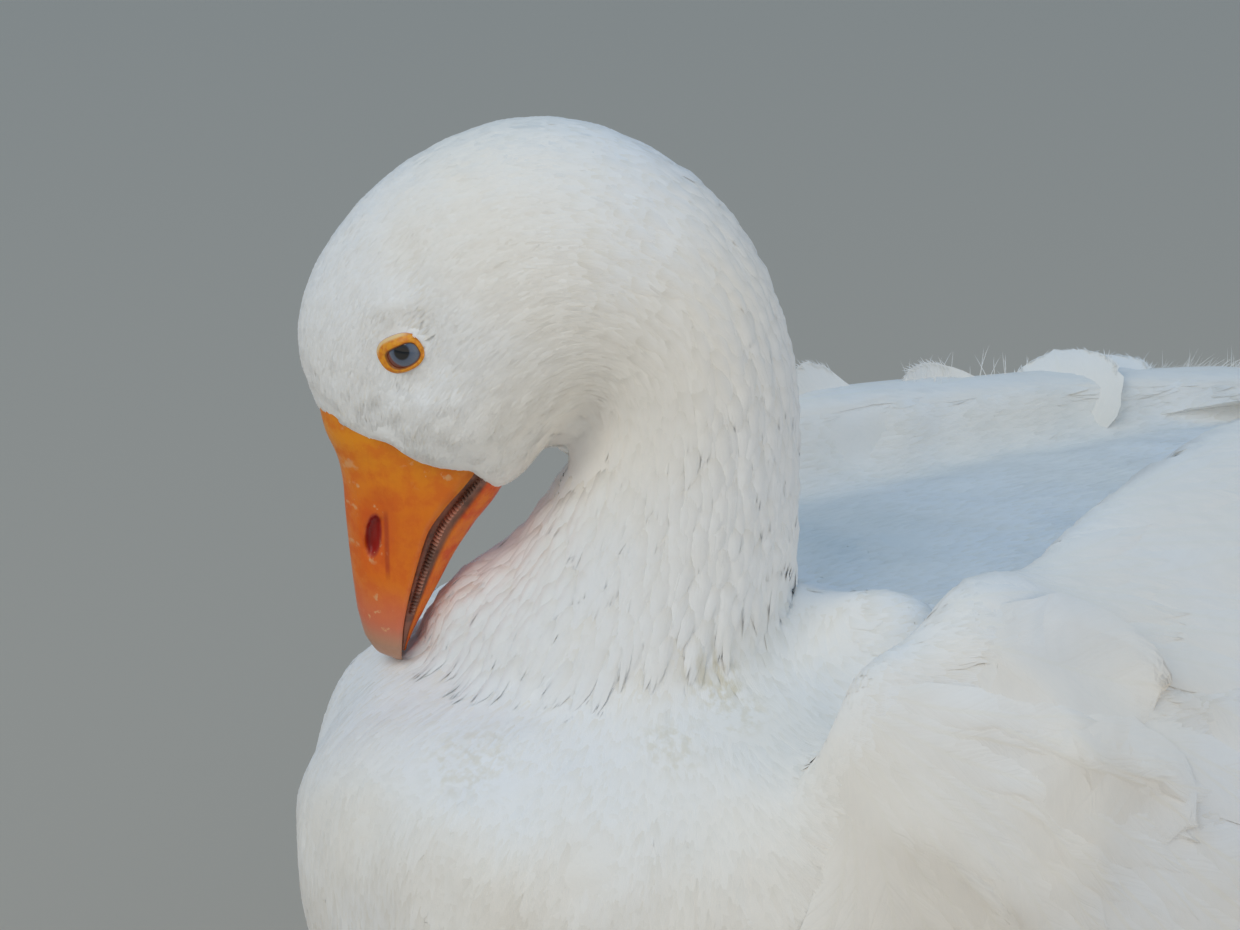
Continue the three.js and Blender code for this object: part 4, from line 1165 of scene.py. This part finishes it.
for side, word in ((1, "left"), (-1, "right")):
    centre = in_neck_plane(EYE[0], EYE[1], side * EYE[2])
    gaze = unit(GAZE[0] * FORWARD + GAZE[1] * UPWARD + side * GAZE[2] * LEFTWARD)
    level = unit(np.cross(UPWARD, gaze))
    steep = np.cross(gaze, level)
    ball = bpy.data.meshes.new(f"eye_{word}")
    shape = bmesh.new()
    bmesh.ops.create_uvsphere(shape, u_segments=64, v_segments=48, radius=EYE_RADIUS)
    shape.to_mesh(ball)
    shape.free()
    at = array_of(ball.vertices, "co")
    iris = np.stack([at[:, 0] * side, at[:, 1]], -1) + np.where(at[:, 2:] < 0, 40.0, 0)
    laid_flat(ball, "Iris", iris / IRIS_MAP + 0.5)
    at = centre + at[:, :1] * level + at[:, 1:2] * steep + at[:, 2:] * gaze
    ball.vertices.foreach_set("co", (at * MM).astype(np.float32).ravel())
    made = shown(f"eye_{word}", ball, "eye", eye_finish)
    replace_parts(made, f"eye_{word}")

# ------------------------------------------------------------------ eyelids
# Bare orange rims that hang half shut over each eye, thick and rolled at their edge, with a painted
# highlight along the upper rim, painted shade at the inner edge against the ball, and a thin mauve line
# where the down begins.
OPENING_MIDDLE = (58.2, 38.0)  # reach and rise
LID_SIZE, OPENING_SIZE = (6.0, 4.7), (4.2, 2.75)  # half length and half height
LID_AROUND, LID_RINGS = 72, 9
lid_finish, tree, shader = new_material("eyelid", 0.42)
place, around_, across = uv_place(tree, "Lid")
where = object_place(tree)
grain = noise(tree, where, 900, 3)
colour = mixed(tree, between(tree, grain, 0.35, 0.65), (0.88, 0.36, 0.012), (0.74, 0.22, 0.008))
# Painted highlight: a pale strip along the top of the rolled rim, where it faces the light from above.
one_part = product(tree, between(tree, around_, 0.52, 0.6), between(tree, around_, 0.82, 0.92, 1, 0))
upper_rim_highlight = product(tree, between(tree, across, 0.5, 0.72), one_part)
colour = mixed(tree, product(tree, upper_rim_highlight, 0.85), colour, (0.86, 0.66, 0.34))
# Painted shade: a dark line at the inner edge of the lids, where they meet the ball.
colour = mixed(tree, between(tree, across, 0.0, 0.12, 0.85, 0), colour, (0.20, 0.05, 0.012))
colour = mixed(tree, between(tree, across, 0.84, 0.97), colour, (0.62, 0.44, 0.42))
feed(tree, shader.inputs["Base Color"], colour)
bumped(tree, shader, grain, 0.35, 0.0005)
for side, word in ((1, "left"), (-1, "right")):
    centre = in_neck_plane(EYE[0], EYE[1], side * EYE[2])
    angle = np.linspace(0, 2 * np.pi, LID_AROUND, endpoint=False)
    long_way = np.array([-math.cos(LID_SLANT), math.sin(LID_SLANT)])
    cross_way = np.array([math.sin(LID_SLANT), math.cos(LID_SLANT)])

    def outline(middle, size, n):
        c, s = np.cos(angle), np.sin(angle)
        far = (np.abs(c / size[0]) ** n + np.abs(s / size[1]) ** n) ** (-1 / n)
        return np.array(middle) + far[:, None] * (c[:, None] * long_way - s[:, None] * cross_way)

    inner, outer = outline(OPENING_MIDDLE, OPENING_SIZE, 2.8), outline(LID_MIDDLE, LID_SIZE, 2.5)

    def on_ball(flat, radius):
        left = np.maximum(radius**2 - np.sum((flat - EYE[:2]) ** 2, 1), 0.5)
        return in_neck_plane(flat[:, 0], flat[:, 1], side * (EYE[2] + np.sqrt(left)))

    def on_face(flat, height):
        got = []
        for p in in_neck_plane(flat[:, 0], flat[:, 1], side * 60):
            hit, facing, _, _ = hide.ray_cast(Vector(p), Vector(-side * LEFTWARD))
            got.append(np.array(hit) + height * np.array(facing))
        return np.array(got)

    rings, flat = [], []
    for k in range(LID_RINGS):
        t = k / (LID_RINGS - 1)
        spot = inner * (1 - t) + outer * t
        ball, face = on_ball(spot, EYE_RADIUS + 0.15), on_face(spot, 0.25)
        apart = (face - ball) @ LEFTWARD * side
        ring = ball + side * LEFTWARD * np.maximum(apart, 0)[:, None]
        bulge = (0.6 if k else 0.3) * math.sin(math.pi * (0.2 + 0.8 * t)) ** 0.6
        rings.append(ring + unit(ring - centre) * bulge)
        flat.append(np.stack([angle / (2 * np.pi), np.full(LID_AROUND, t)], -1))
    for depth, t in ((2.2, 1.0), (1.4, 0.0)):
        base = rings[LID_RINGS - 1] if t else rings[0]
        rings.append(base - unit(base - centre) * depth)
        flat.append(np.stack([angle / (2 * np.pi), np.full(LID_AROUND, t)], -1))
    rings, flat = np.array(rings), np.array(flat).reshape(-1, 2)
    total = len(rings)
    faces = [(r % total * LID_AROUND + i, r % total * LID_AROUND + (i + 1) % LID_AROUND,
              (r + 1) % total * LID_AROUND + (i + 1) % LID_AROUND, (r + 1) % total * LID_AROUND + i)
             for r in range(total) for i in range(LID_AROUND)]
    mesh = bpy.data.meshes.new(f"eyelids_{word}")
    mesh.from_pydata((rings.reshape(-1, 3) * MM).tolist(), [], faces)
    laid_flat(mesh, "Lid", flat)
    shown(mesh.name, looking_out(mesh), "bare_skin", lid_finish)

# ------------------------------------------------------------------ wing feathers
# Each folded wing is roofed with broad soft feathers that grow longer from the shoulder back. A
# feather is a curved vane on a shaft, ribbed by its barbs; a few raised ones have a loose soft fringe along
# their edges.
VANE_ACROSS = np.array([-1, -0.6, -0.06, 0.06, 0.6, 1])
SOFT_FORM = ([0, 0.12, 0.35, 0.75, 0.85, 0.92, 0.97, 1], [0.3, 0.62, 0.95, 1, 0.92, 0.73, 0.47, 0.1])
POINTED_FORM = ([0, 0.15, 0.4, 0.7, 0.88, 1], [0.4, 0.75, 1, 0.82, 0.45, 0.06])
ROUND_FORM = ([0, 0.15, 0.5, 0.72, 0.84, 0.92, 0.97, 1], [0.45, 0.8, 1, 0.95, 0.8, 0.6, 0.38, 0.1])
QUILL_FORM = ([0, 0.05, 0.3, 0.75, 0.93, 1], [0.25, 0.6, 1, 0.92, 0.5, 0.08])


def stretched_shares(stations):
    """Shares of a feather's length that lie closer together towards its rounded tip."""
    return 1 - (1 - np.linspace(0, 1, stations)) ** 1.5


def feather_mesh(name, surface, normals, length, width, place, thick=0.14):
    """Closed thin vanes from their upper surfaces (many, stations, across, 3), each on its own patch."""
    many, stations, wide, _ = surface.shape
    middle = slice(wide // 2, wide // 2 + 1)
    centre_line = surface[:, :, wide // 2 - 1:wide // 2 + 1].mean(2, keepdims=True)
    below = centre_line - normals[:, :, middle] * thick * 2
    rings = np.concatenate([surface, below], 2)
    end = surface[:, -1].mean(1)
    tips = end + unit(end - surface[:, -2].mean(1)) * (0.03 * length)[:, None]
    points, faces4, faces3, each = lofted(rings, tips)
    sides = wide + 1
    f4, f3 = len(faces4) // many, len(faces3) // many
    shade = np.concatenate([normals, normals[:, :, middle]], 2)
    shade = unit(np.concatenate([shade.reshape(many, -1, 3), normals[:, -1, wide // 2][:, None]], 1))
    across = np.append(np.tile(np.append(VANE_ACROSS, 0), stations), 0)
    along = np.append(np.repeat(stretched_shares(stations), sides), 1.02)
    flat = place[:, None] + np.stack([across, along * 2 - 1], -1)[None] * PATCH
    vane = np.stack([0.5 + across[None] * width[:, None] / 200, along[None] * length[:, None] / 100], -1)
    under = np.concatenate([np.repeat(np.tile(np.arange(f4) % sides >= sides - 2, many), 4),
                            np.repeat(np.tile(np.arange(f3) >= sides - 2, many), 3)])
    mesh = joined_mesh(name, points, faces4, faces3, flat.reshape(-1, 2), vane.reshape(-1, 2),
                       shade.reshape(-1, 3), under)
    return shown(name, mesh, "plumage", vane_finish, smooth=False)


def fringe(name, surface, normals, place, per_edge, length, thin=0.16, start=0.45):
    """Loose barbs that leave both edges of each feather and its tip, a little apart from one another."""
    many, stations, wide, _ = surface.shape
    steps = (stations - 1) * per_edge
    spot = start + (1 - start) * (np.arange(steps) + 0.5) / steps
    roots_, ways_, ups_, homes = [], [], [], []
    for edge, inner in ((0, 1), (wide - 1, wide - 2)):
        jitter = rng.uniform(-0.5, 0.5, (many, steps)) * (1 - start) / steps
        t = np.clip(spot[None] + jitter, 0, 1) * (stations - 1)
        k = np.minimum(t.astype(int), stations - 2)
        f = (t - k)[..., None]
        at_station = lambda field, j, step: np.take_along_axis(field[:, :, j], k[..., None] + step, 1)
        pick = lambda field, j: at_station(field, j, 0) * (1 - f) + at_station(field, j, 1) * f
        at_, inside = pick(surface, edge), pick(surface, inner)
        along_ = unit(at_station(surface, edge, 1) - at_station(surface, edge, 0))
        up_ = pick(normals, edge)
        way_ = unit(unit(at_ - inside) * 0.55 + along_ * 0.85 + rng.normal(0, 0.12, at_.shape))
        roots_.append((at_ - way_ * 0.6 * length).reshape(-1, 3))
        ways_.append(way_.reshape(-1, 3))
        ups_.append(up_.reshape(-1, 3))
        homes.append(np.repeat(place, steps, 0))
    root_, way_, up_, home = (np.concatenate(x) for x in (roots_, ways_, ups_, homes))
    up_ = laid(up_, way_)
    aside = np.cross(way_, up_)
    reach_ = length * rng.uniform(0.9, 1.5, len(root_))
    share = np.array([0, 0.55, 1])
    middle = root_[:, None] + way_[:, None] * (reach_[:, None] * share)[..., None]
    middle = middle - up_[:, None] * (0.25 * share)[None, :, None] + up_[:, None] * 0.15
    half = thin * np.array([0.9, 0.8, 0])
    to_side, to_back = aside[:, None] * half[:, None], up_[:, None] * (0.3 * half)[:, None]
    rings = np.stack([middle - to_side, middle + to_back, middle + to_side], 2)[:, :-1]
    ups = np.repeat(up_[:, None], 3, 1)
    vanes(name, rings, middle[:, -1], ups, np.repeat(ups[:, :-1, None], 3, 2), home)


def draped(name, at, near, weight, length, width, yaw, low, high,
           stations=9, hang=0.8, roll=0.0, form=SOFT_FORM, roof=0.0):
    """Feathers that lie on the hide from their roots, every part of the vane at its own height over it.
    roll lifts one of their edges, as a share of their width, and roof the edge that overlaps the next."""
    share = stretched_shares(stations)
    spots, normals, ways = paths(at, near, weight, length, share, yaw)
    many, wide = len(at), len(VANE_ACROSS)
    outline = np.interp(share, *form)[None] * (1 + rng.normal(0, 0.02, (many, stations)))
    aside = np.cross(ways, normals)
    roll = np.broadcast_to(roll, many)
    surface, facing = np.zeros((many, stations, wide, 3)), np.zeros((many, stations, wide, 3))
    for j, v in enumerate(VANE_ACROSS):
        spread = spots + aside * (v * width / 2)[:, None, None] * outline[..., None]
        flat_at, n_near, n_weight = on_hide((spread + normals * 2).reshape(-1, 3))
        n = unit(there(soft_normal, n_near, n_weight)).reshape(many, stations, 3)
        rolled = np.maximum(0, np.sign(roll) * v)
        height = low[:, None] + (high - low)[:, None] * share
        height = height * (1 - hang * v * v) * (1 - 0.5 * ease(share, 0.8, 1)) + roof * v * share
        height = height - 3.5 * (1 - ease(share, -0.15, 0.3)) + (0.12 if abs(v) < 0.1 else 0)
        height = height + (np.abs(roll * width) * rolled**2)[:, None] * ease(share, 0.1, 0.5)
        surface[:, :, j] = flat_at.reshape(many, stations, 3) + n * height[..., None]
        facing[:, :, j] = unit(n + aside * (0.2 * v) - aside * (2.0 * roll * rolled)[:, None, None])
    return feather_mesh(name, surface, facing, length, width, flat_place(at, normals[:, 0]))


def free(name, root, tip, face, width, bow, cup=0.12, stations=14, form=QUILL_FORM, loose=0):
    """Feathers that stand clear of the hide, straight from root to tip but for a bow, with a cupped
    vane."""
    root, tip, face = (np.asarray(x, float) for x in (root, tip, face))
    width = np.broadcast_to(np.asarray(width, float), len(root))
    bow = np.broadcast_to(np.asarray(bow, float), len(root))
    share = stretched_shares(stations)
    way = unit(tip - root)
    face = laid(face, way)
    length = np.linalg.norm(tip - root, axis=1)
    aside = np.cross(way, face)
    slope = -4 * (2 * share - 1)[None, :] * bow[:, None] / length[:, None]
    arched = face[:, None] * (4 * share * (1 - share))[None, :, None] * bow[:, None, None]
    middle = root[:, None] + (tip - root)[:, None] * share[None, :, None] + arched
    here = unit(face[:, None] - way[:, None] * slope[..., None])
    wide = np.interp(share, *form)[None] * (1 + rng.normal(0, 0.02, (len(root), stations)))
    v = VANE_ACROSS
    offset = (width / 2)[:, None, None] * wide[:, :, None] * v[None, None, :]
    drop = -cup * np.abs(offset) * np.abs(v) + 0.3 * (np.abs(v) < 0.1)
    surface = middle[:, :, None] + aside[:, None, None] * offset[..., None]
    surface = surface + here[:, :, None] * drop[..., None]
    facing = unit(here[:, :, None] + aside[:, None, None] * (1.6 * cup * v)[None, None, :, None])
    place = flat_place(root, face)
    made = feather_mesh(name, surface, facing, length, width, place)
    if loose:
        fringe(f"{name}_fringe", surface, facing, place, loose, 0.06 * float(np.mean(length)) + 1.2)
    return made


def staggered(first, last, count, low, high, across, wobble):
    """Rows of roots over a stretch of the wing, each row set between those of the last."""
    i, j = np.meshgrid(np.arange(count), np.arange(across), indexing="ij")
    row_ = first + (last - first) * (i + 0.5 * (j % 2)) / max(count - 1, 1)
    row_ = row_ + rng.normal(0, wobble, i.shape)
    turn_ = np.radians(low + (high - low) * j / max(across - 1, 1)) + rng.normal(0, wobble * 0.6, i.shape)
    return row_.ravel(), turn_.ravel()


for side, word in ((1, "left"), (-1, "right")):
    r, t = staggered(3.6, 6.0, 6, -58, 80, 8, 0.06)
    at, near, weight = on_hide(wing_point(r, t, side))
    many = len(at)
    draped(f"wing_coverts_{word}", at, near, weight, rng.uniform(58, 74, many), rng.uniform(25, 31, many),
           -side * np.radians(10) + rng.normal(0, 0.07, many), rng.uniform(0.4, 0.5, many),
           rng.uniform(2.0, 2.3, many), stations=12, roof=0.15 * side)
    r, t = staggered(2.6, 5.4, 7, 66, 122 if side > 0 else 96, 5, 0.07)
    at, near, weight = on_hide(wing_point(r, t, side))
    many = len(at)
    draped(f"scapulars_{word}", at, near, weight, rng.uniform(76, 100, many), rng.uniform(24, 32, many),
           -side * np.radians(4) + rng.normal(0, 0.10, many), rng.uniform(0.5, 0.6, many),
           rng.uniform(2.2, 2.6, many), stations=14, roof=0.15 * side)
    r, t = staggered(1.5, 4.3, 11, -62, 120 if side > 0 else 94, 14, 0.10)
    at, near, weight = on_hide(wing_point(r, t, side))
    many = len(at)
    draped(f"shoulder_feathers_{word}", at, near, weight,
           rng.uniform(48, 74, many), rng.uniform(13, 20, many),
           -side * np.radians(6 + (12 + 26 * ease(-r, -4, -2)) * np.cos(t) ** 2) + rng.normal(0, 0.12, many),
           rng.uniform(0.2, 0.35, many), rng.uniform(1.8, 2.2, many),
           stations=11, form=POINTED_FORM, roof=0.12 * side)

TERTIALS = {"count": 7, "width": (44, 44), "bow": 4,
            "root": ([72, 8, 180], [106, 50, 156]), "tip": ([18, 172, 172], [70, 208, 150])}
LOOSE_TERTIALS = {**TERTIALS, "bow": 6,
                  "root": ([38, 4, 208], [104, 50, 162]), "tip": ([18, 172, 176], [70, 208, 152])}
SECONDARIES = {"count": 9, "width": (44, 36), "bow": 12,
               "root": ([122, -10, 138], [119, -60, 104]), "tip": ([88, 190, 128], [114, 100, 70])}
PRIMARIES = {"count": 9, "width": (25, 27), "bow": 10,
             "root": ([58, 90, 160], [72, 70, 136]), "tip": ([16, 287, 163], [54, 222, 137])}


def quills(spec, side, lean_up):
    """Root, tip, face, width and bow of each feather of a row that fans from its first to its last."""
    share = np.linspace(0, 1, spec["count"])[:, None]
    root = np.array(spec["root"][0]) * (1 - share) + np.array(spec["root"][1]) * share
    tip = np.array(spec["tip"][0]) * (1 - share) + np.array(spec["tip"][1]) * share
    lean = np.radians(lean_up[0] + (lean_up[1] - lean_up[0]) * share)
    face = np.concatenate([np.cos(lean), 0 * lean, np.sin(lean)], 1)
    order = (1 - share) * 2.2
    root, tip = root + face * order, tip + face * order
    flip = np.array([side, 1, 1])
    width = spec["width"][0] + (spec["width"][1] - spec["width"][0]) * share[:, 0]
    return root * flip, tip * flip, face * flip, width, np.full(len(share), float(spec["bow"]))


for side, word in ((1, "left"), (-1, "right")):
    tertials = LOOSE_TERTIALS if side > 0 else TERTIALS
    free(f"tertials_{word}", *quills(tertials, side, (50, 25)), form=SOFT_FORM)
    free(f"secondaries_{word}", *quills(SECONDARIES, side, (30, 8)), form=SOFT_FORM)
    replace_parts(free(f"primaries_{word}", *quills(PRIMARIES, side, (70, 35))), f"primaries_{word}")

# The left wing is held a little away from the back, and its inner side shows as one more fan of feathers.
LINING = {"count": 11, "width": (40, 24), "bow": 3,
          "root": ([34, 2, 204], [52, 92, 159]), "tip": ([15, 140, 180], [12, 288, 161])}
root_, tip_, _, width_, bow_ = quills(LINING, 1, (60, 60))
inward = np.array([[-0.75, 0.1, 0.65]]) + 0 * root_
free("wing_lining_left", root_, tip_, inward, width_, bow_, form=SOFT_FORM)

# Over the left shoulder some feathers lie loose, in sheaves that fan out from one place, and one
# large feather curls up along its upper edge.
SHEAVES = [  # root x, y, z; feathers; turn towards the ground, first and last; length, width
    ([82, -206, 212], 8, (0.05, 0.75), 66, 15),
    ([90, -206, 199], 9, (0.45, 1.25), 62, 15),
    ([92, -186, 208], 9, (0.30, 0.95), 88, 19),
    ([70, -168, 224], 7, (-0.15, 0.35), 74, 17),
    ([66, -120, 228], 7, (-0.20, 0.15), 92, 19),
]
for number, (root_, count_, turns_, length_, width_) in enumerate(SHEAVES):
    order = rng.permutation(count_)
    spots_ = np.array(root_, float) + rng.normal(0, 2.0, (count_, 3))
    spots_ = spots_ + np.outer(np.linspace(-1, 1, count_), [0, 0, -5])
    at, near, weight = on_hide(spots_)
    draped(f"loose_sheaf_{number + 1}", at, near, weight,
           length_ * rng.uniform(0.85, 1.15, count_), width_ * rng.uniform(0.85, 1.2, count_),
           -np.linspace(*turns_, count_), 0.6 + 0.05 * order, 2.2 + 0.12 * order,
           stations=14, form=POINTED_FORM, hang=0.7, roof=0.2)
at, near, weight = on_hide(np.array([[86.0, -168, 216], [92, -158, 208]]))
draped("curled_feather", at, near, weight, np.array([62.0, 66]), np.array([34.0, 40]),
       np.array([-0.25, -0.6]), np.array([1.2, 1.0]),
       np.array([3.2, 2.8]), stations=18, roll=np.array([-0.13, -0.03]), form=ROUND_FORM, hang=0.6)

# On the top of the right wing the wind has raised a few: a curled tip, a round one and loose fluff.
RAISED = [  # root, tip, the way it faces, width, bow
    ([-70, -52, 198], [-79, -78, 219], [0.6, -0.3, 0.7], 26, -3),
    ([-68, -8, 195], [-78, -39, 209], [0.7, -0.6, 0.4], 19, -4),
    ([-58, 8, 188], [-76, 16, 206.5], [0.6, -0.6, 0.5], 33, 3),
    ([-60, 24, 186], [-78, 36, 200], [0.55, -0.6, 0.5], 26, 3),
]
root_, tip_, face_, width_, bow_ = (np.array(x, float) for x in zip(*RAISED))
free("raised_feathers", root_, tip_, face_, width_, bow_, cup=0.07, form=ROUND_FORM, loose=2)


def wisps(name, first, last, count, way, length, thin=0.14):
    """Fine loose hairs that rise along a line and bend over to one side."""
    share = rng.random((count, 1))
    root_ = np.array(first) * (1 - share) + np.array(last) * share + rng.normal(0, 1.6, (count, 3))
    way_ = unit(np.array(way) + rng.normal(0, 0.22, (count, 3)))
    up_ = laid(np.array([[0.5, -0.5, 0.6]]) + 0 * way_, way_)
    aside = np.cross(way_, up_)
    reach_ = length * rng.uniform(0.5, 1.3, count)
    steps = np.array([0, 0.35, 0.7, 1])
    middle = root_[:, None] + way_[:, None] * (reach_[:, None] * steps)[..., None]
    swing = (rng.normal(0, 0.12, count) * reach_)[:, None, None]
    middle = middle + swing * (steps**2)[None, :, None] * aside[:, None]
    middle[..., 2] -= 0.16 * reach_[:, None] * steps**2
    half = thin * np.array([1, 0.9, 0.6, 0])
    to_side, to_back = aside[:, None] * half[:, None], up_[:, None] * half[:, None] * 0.6
    rings = np.stack([middle - to_side, middle + to_back, middle + to_side], 2)[:, :-1]
    ups = np.repeat(up_[:, None], 4, 1)
    vanes(name, rings, middle[:, -1], ups, np.repeat(ups[:, :-1, None], 3, 2), flat_place(root_, up_))


wisps("wing_fluff", [-74, 26, 189], [-60, 112, 180], 4200, [-0.10, 0.95, 0.30], 13, 0.07)
wisps("wing_wisps", [-76, -44, 206], [-76, 0, 203], 34, [-0.2, 0.3, 1.0], 10, 0.10)

# Long soft feathers of the flanks hang over the folded legs, their roots under a cover of shorter ones.
for side, word in ((1, "left"), (-1, "right")):
    i, j = (x.ravel() for x in np.meshgrid(np.arange(2), np.arange(17), indexing="ij"))
    along_body = -82 + 10 * (j + 0.5 * i) + rng.normal(0, 2.5, len(i))
    root_, near, weight = on_hide(np.stack([side * (116 + 0 * i), along_body, 36.0 + 12 * i], -1))
    outward = unit(there(soft_normal, near, weight))
    fuller = 1 - 0.55 * np.abs(along_body / 84) ** 2.2
    drop = (root_[:, 2] - 4 - 11 * i - rng.uniform(0, 4, len(i))) * np.clip(fuller, 0.3, 1)
    tip_ = root_ + np.stack([-side * (6.0 + 4.0 * i), 24 + rng.normal(0, 5, len(i)), -drop], -1)
    free(f"flank_feathers_{word}", root_ - outward * 3.5, tip_, outward * [1, 1, 0.2],
         rng.uniform(16, 22, len(i)), 3.0, cup=0.18, form=SOFT_FORM)
    i, j = (x.ravel() for x in np.meshgrid(np.arange(3), np.arange(19), indexing="ij"))
    back_ = -96 + 10.5 * (j + 0.5 * (i % 2)) + rng.normal(0, 2.5, len(i))
    spots_ = np.stack([side * (122 + 0 * i), back_, 48.0 + 11 * i], -1)
    at, near, weight = on_hide(spots_)
    many = len(at)
    draped(f"flank_cover_{word}", at, near, weight, rng.uniform(34, 50, many), rng.uniform(13, 19, many),
           -side * rng.normal(0.62, 0.12, many), rng.uniform(0.2, 0.4, many), rng.uniform(1.6, 2.4, many),
           stations=9, form=POINTED_FORM)

# ------------------------------------------------------------------ tail
# A short fan of stiff feathers over the crossed wing tips, roofed at its root by soft coverts.
TAIL_FEATHERS, TAIL_LENGTH, TAIL_SPREAD, TAIL_LIFT, TAIL_WIDTH = 16, 112, 26, 5, 30
fan = np.radians(np.linspace(-TAIL_SPREAD, TAIL_SPREAD, TAIL_FEATHERS))
lift_ = math.radians(TAIL_LIFT)
root = TAIL_ROOT + np.stack([22 * np.sin(fan), 0 * fan, 3.0 - 8.0 * np.abs(np.sin(fan))], -1)
reach_ = TAIL_LENGTH * (1 - 0.10 * (np.abs(fan) / np.radians(TAIL_SPREAD)) ** 2)
back_, up_ = reach_ * np.cos(fan) * math.cos(lift_), reach_ * math.sin(lift_) + 0 * fan
tip = root + np.stack([reach_ * np.sin(fan), back_, up_], -1)
face = unit(np.stack([0.35 * np.sin(fan), -np.sin(lift_) + 0 * fan, np.ones_like(fan)], -1))
free("tail_feathers", root, tip, face, TAIL_WIDTH, 3.0)

# ------------------------------------------------------------------ legs and feet
# Orange legs folded under the belly, with three toes and their web flat on the ground.
leather, tree, shader = new_material("foot skin", 0.5)
where = object_place(tree)
mottle = between(tree, noise(tree, where, 150, 3), 0.4, 0.62)
feed(tree, shader.inputs["Base Color"], mixed(tree, mottle, (0.78, 0.24, 0.02), (0.66, 0.14, 0.02)))
scales = tree.nodes.new("ShaderNodeTexVoronoi")
scales.feature = "DISTANCE_TO_EDGE"
scales.inputs["Scale"].default_value = 420
tree.links.new(where, scales.inputs["Vector"])
bumped(tree, shader, between(tree, scales.outputs["Distance"], 0.0, 0.25), 0.6, 0.0006)
for word in ("left", "right"):
    for part in ("foot", "shank"):
        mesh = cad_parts[f"{part}_{word}"].data.copy()
        mesh.name = f"{part}_{word}_skin"
        made = shown(mesh.name, mesh, None)
        fine = made.modifiers.new("one surface", "REMESH")
        fine.mode = "VOXEL"
        fine.voxel_size = 0.8 * MM
        soft = made.modifiers.new("soft", "SMOOTH")
        soft.iterations = 4
        applied(made)
        made.data.shade_smooth()
        made.data.materials.clear()
        made.data.materials.append(leather)
        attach(made, "root")
        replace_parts(made, f"{part}_{word}")

# ------------------------------------------------------------------ claws
# A short blunt claw of pinkish grey horn curves down from the end of each toe.
TOE_JOINT = np.array([66.0, -62, 0])
TOES = [(-22, 66), (2, 78), (26, 64)]  # turn and length
CLAW = [  # out, height, radius
    (-2.5, 2.9, 2.8), (0, 3.1, 2.7), (3, 3.1, 2.3), (6, 2.6, 1.6), (9.2, 1.6, 0.8), (10, 1.3, 0.15),
]
claw_finish, tree, shader = new_material("claw horn", 0.35)
mottle = between(tree, noise(tree, object_place(tree), 300, 3), 0.35, 0.65)
feed(tree, shader.inputs["Base Color"], mixed(tree, mottle, (0.50, 0.38, 0.30), (0.36, 0.25, 0.20)))
for side, word in ((1, "left"), (-1, "right")):
    for number, (turn_, long_) in enumerate(TOES):
        t = math.radians(turn_)
        ahead = np.array([side * math.sin(t), -math.cos(t), 0])
        sideways = np.array([-ahead[1], ahead[0], 0])
        angle = np.linspace(0, 2 * np.pi, 16, endpoint=False)[:, None]
        rings = [TOE_JOINT * [side, 1, 1] + ahead * (long_ + out_) + [0, 0, high_]
                 + radius_ * (np.cos(angle) * sideways + np.sin(angle) * [0, 0, 1.0])
                 for out_, high_, radius_ in CLAW]
        shown(f"claw_{word}_{number + 1}", tube(f"claw_{word}_{number + 1}", rings), "horn", claw_finish)

# ------------------------------------------------------------------ look
scene = bpy.context.scene
scene.view_settings.view_transform = "Standard"
CAMERA_TURN = math.radians(50)
CAMERA_HEIGHT = math.radians(21)
CAMERA_AWAY = 2000.0
FRAME_WIDTH = 310.0
right = np.array([math.cos(CAMERA_TURN), math.sin(CAMERA_TURN), 0])
toward = np.array([
    math.sin(CAMERA_TURN) * math.cos(CAMERA_HEIGHT),
    -math.cos(CAMERA_TURN) * math.cos(CAMERA_HEIGHT),
    math.sin(CAMERA_HEIGHT),
])
lens = bpy.data.cameras.new("camera")
lens.sensor_width = 36
lens.lens = 36 * CAMERA_AWAY / FRAME_WIDTH
camera = bpy.data.objects.new("camera", lens)
camera.location = Vector((NECK_FOOT - 5 * right + toward * CAMERA_AWAY) * MM)
camera.rotation_euler = Vector(toward).to_track_quat("Z", "Y").to_euler()
scene.collection.objects.link(camera)
scene.camera = camera

floor_mesh = bpy.data.meshes.new("floor")
floor_mesh.from_pydata([(-25, -25, 0), (25, -25, 0), (25, 25, 0), (-25, 25, 0)], [], [(0, 1, 2, 3)])
ground = bpy.data.materials.new("floor")
ground.use_nodes = True
ground.node_tree.nodes["Principled BSDF"].inputs["Base Color"].default_value = (0.60, 0.50, 0.39, 1)
ground.node_tree.nodes["Principled BSDF"].inputs["Roughness"].default_value = 0.9
floor = shown("floor", floor_mesh, None, ground)


def soft_light(name, turn, height, away, size, power, colour):
    lamp = bpy.data.lights.new(name, "AREA")
    lamp.size, lamp.energy, lamp.color = size, power, colour
    lit = bpy.data.objects.new(name, lamp)
    t, h = math.radians(turn), math.radians(height)
    way = Vector((math.sin(t) * math.cos(h), -math.cos(t) * math.cos(h), math.sin(h)))
    lit.location = Vector(NECK_FOOT * MM) + way * away
    lit.rotation_euler = way.to_track_quat("Z", "Y").to_euler()
    scene.collection.objects.link(lit)


soft_light("key", 8, 44, 1.8, 1.1, 11.2, (1, 0.93, 0.80))
soft_light("fill", 105, 22, 2.0, 1.6, 7, (1, 0.86, 0.68))
world = bpy.data.worlds.new("studio")
scene.world = world
world.use_nodes = True
tree = world.node_tree
height = tree.nodes.new("ShaderNodeSeparateXYZ")
tree.links.new(tree.nodes.new("ShaderNodeTexCoord").outputs["Generated"], height.inputs[0])
sky = mixed(tree, between(tree, height.outputs[2], 0.05, 0.65), (1.0, 0.93, 0.82), (0.37, 0.65, 1.0))
tree.links.new(sky, tree.nodes["Background"].inputs["Color"])
tree.nodes["Background"].inputs["Strength"].default_value = 0.55

# Once the whole coat lies on it, the skin's mesh is thinned a little.
thinned = skin.modifiers.new("fewer faces", "DECIMATE")
thinned.ratio = 0.89
applied(skin)
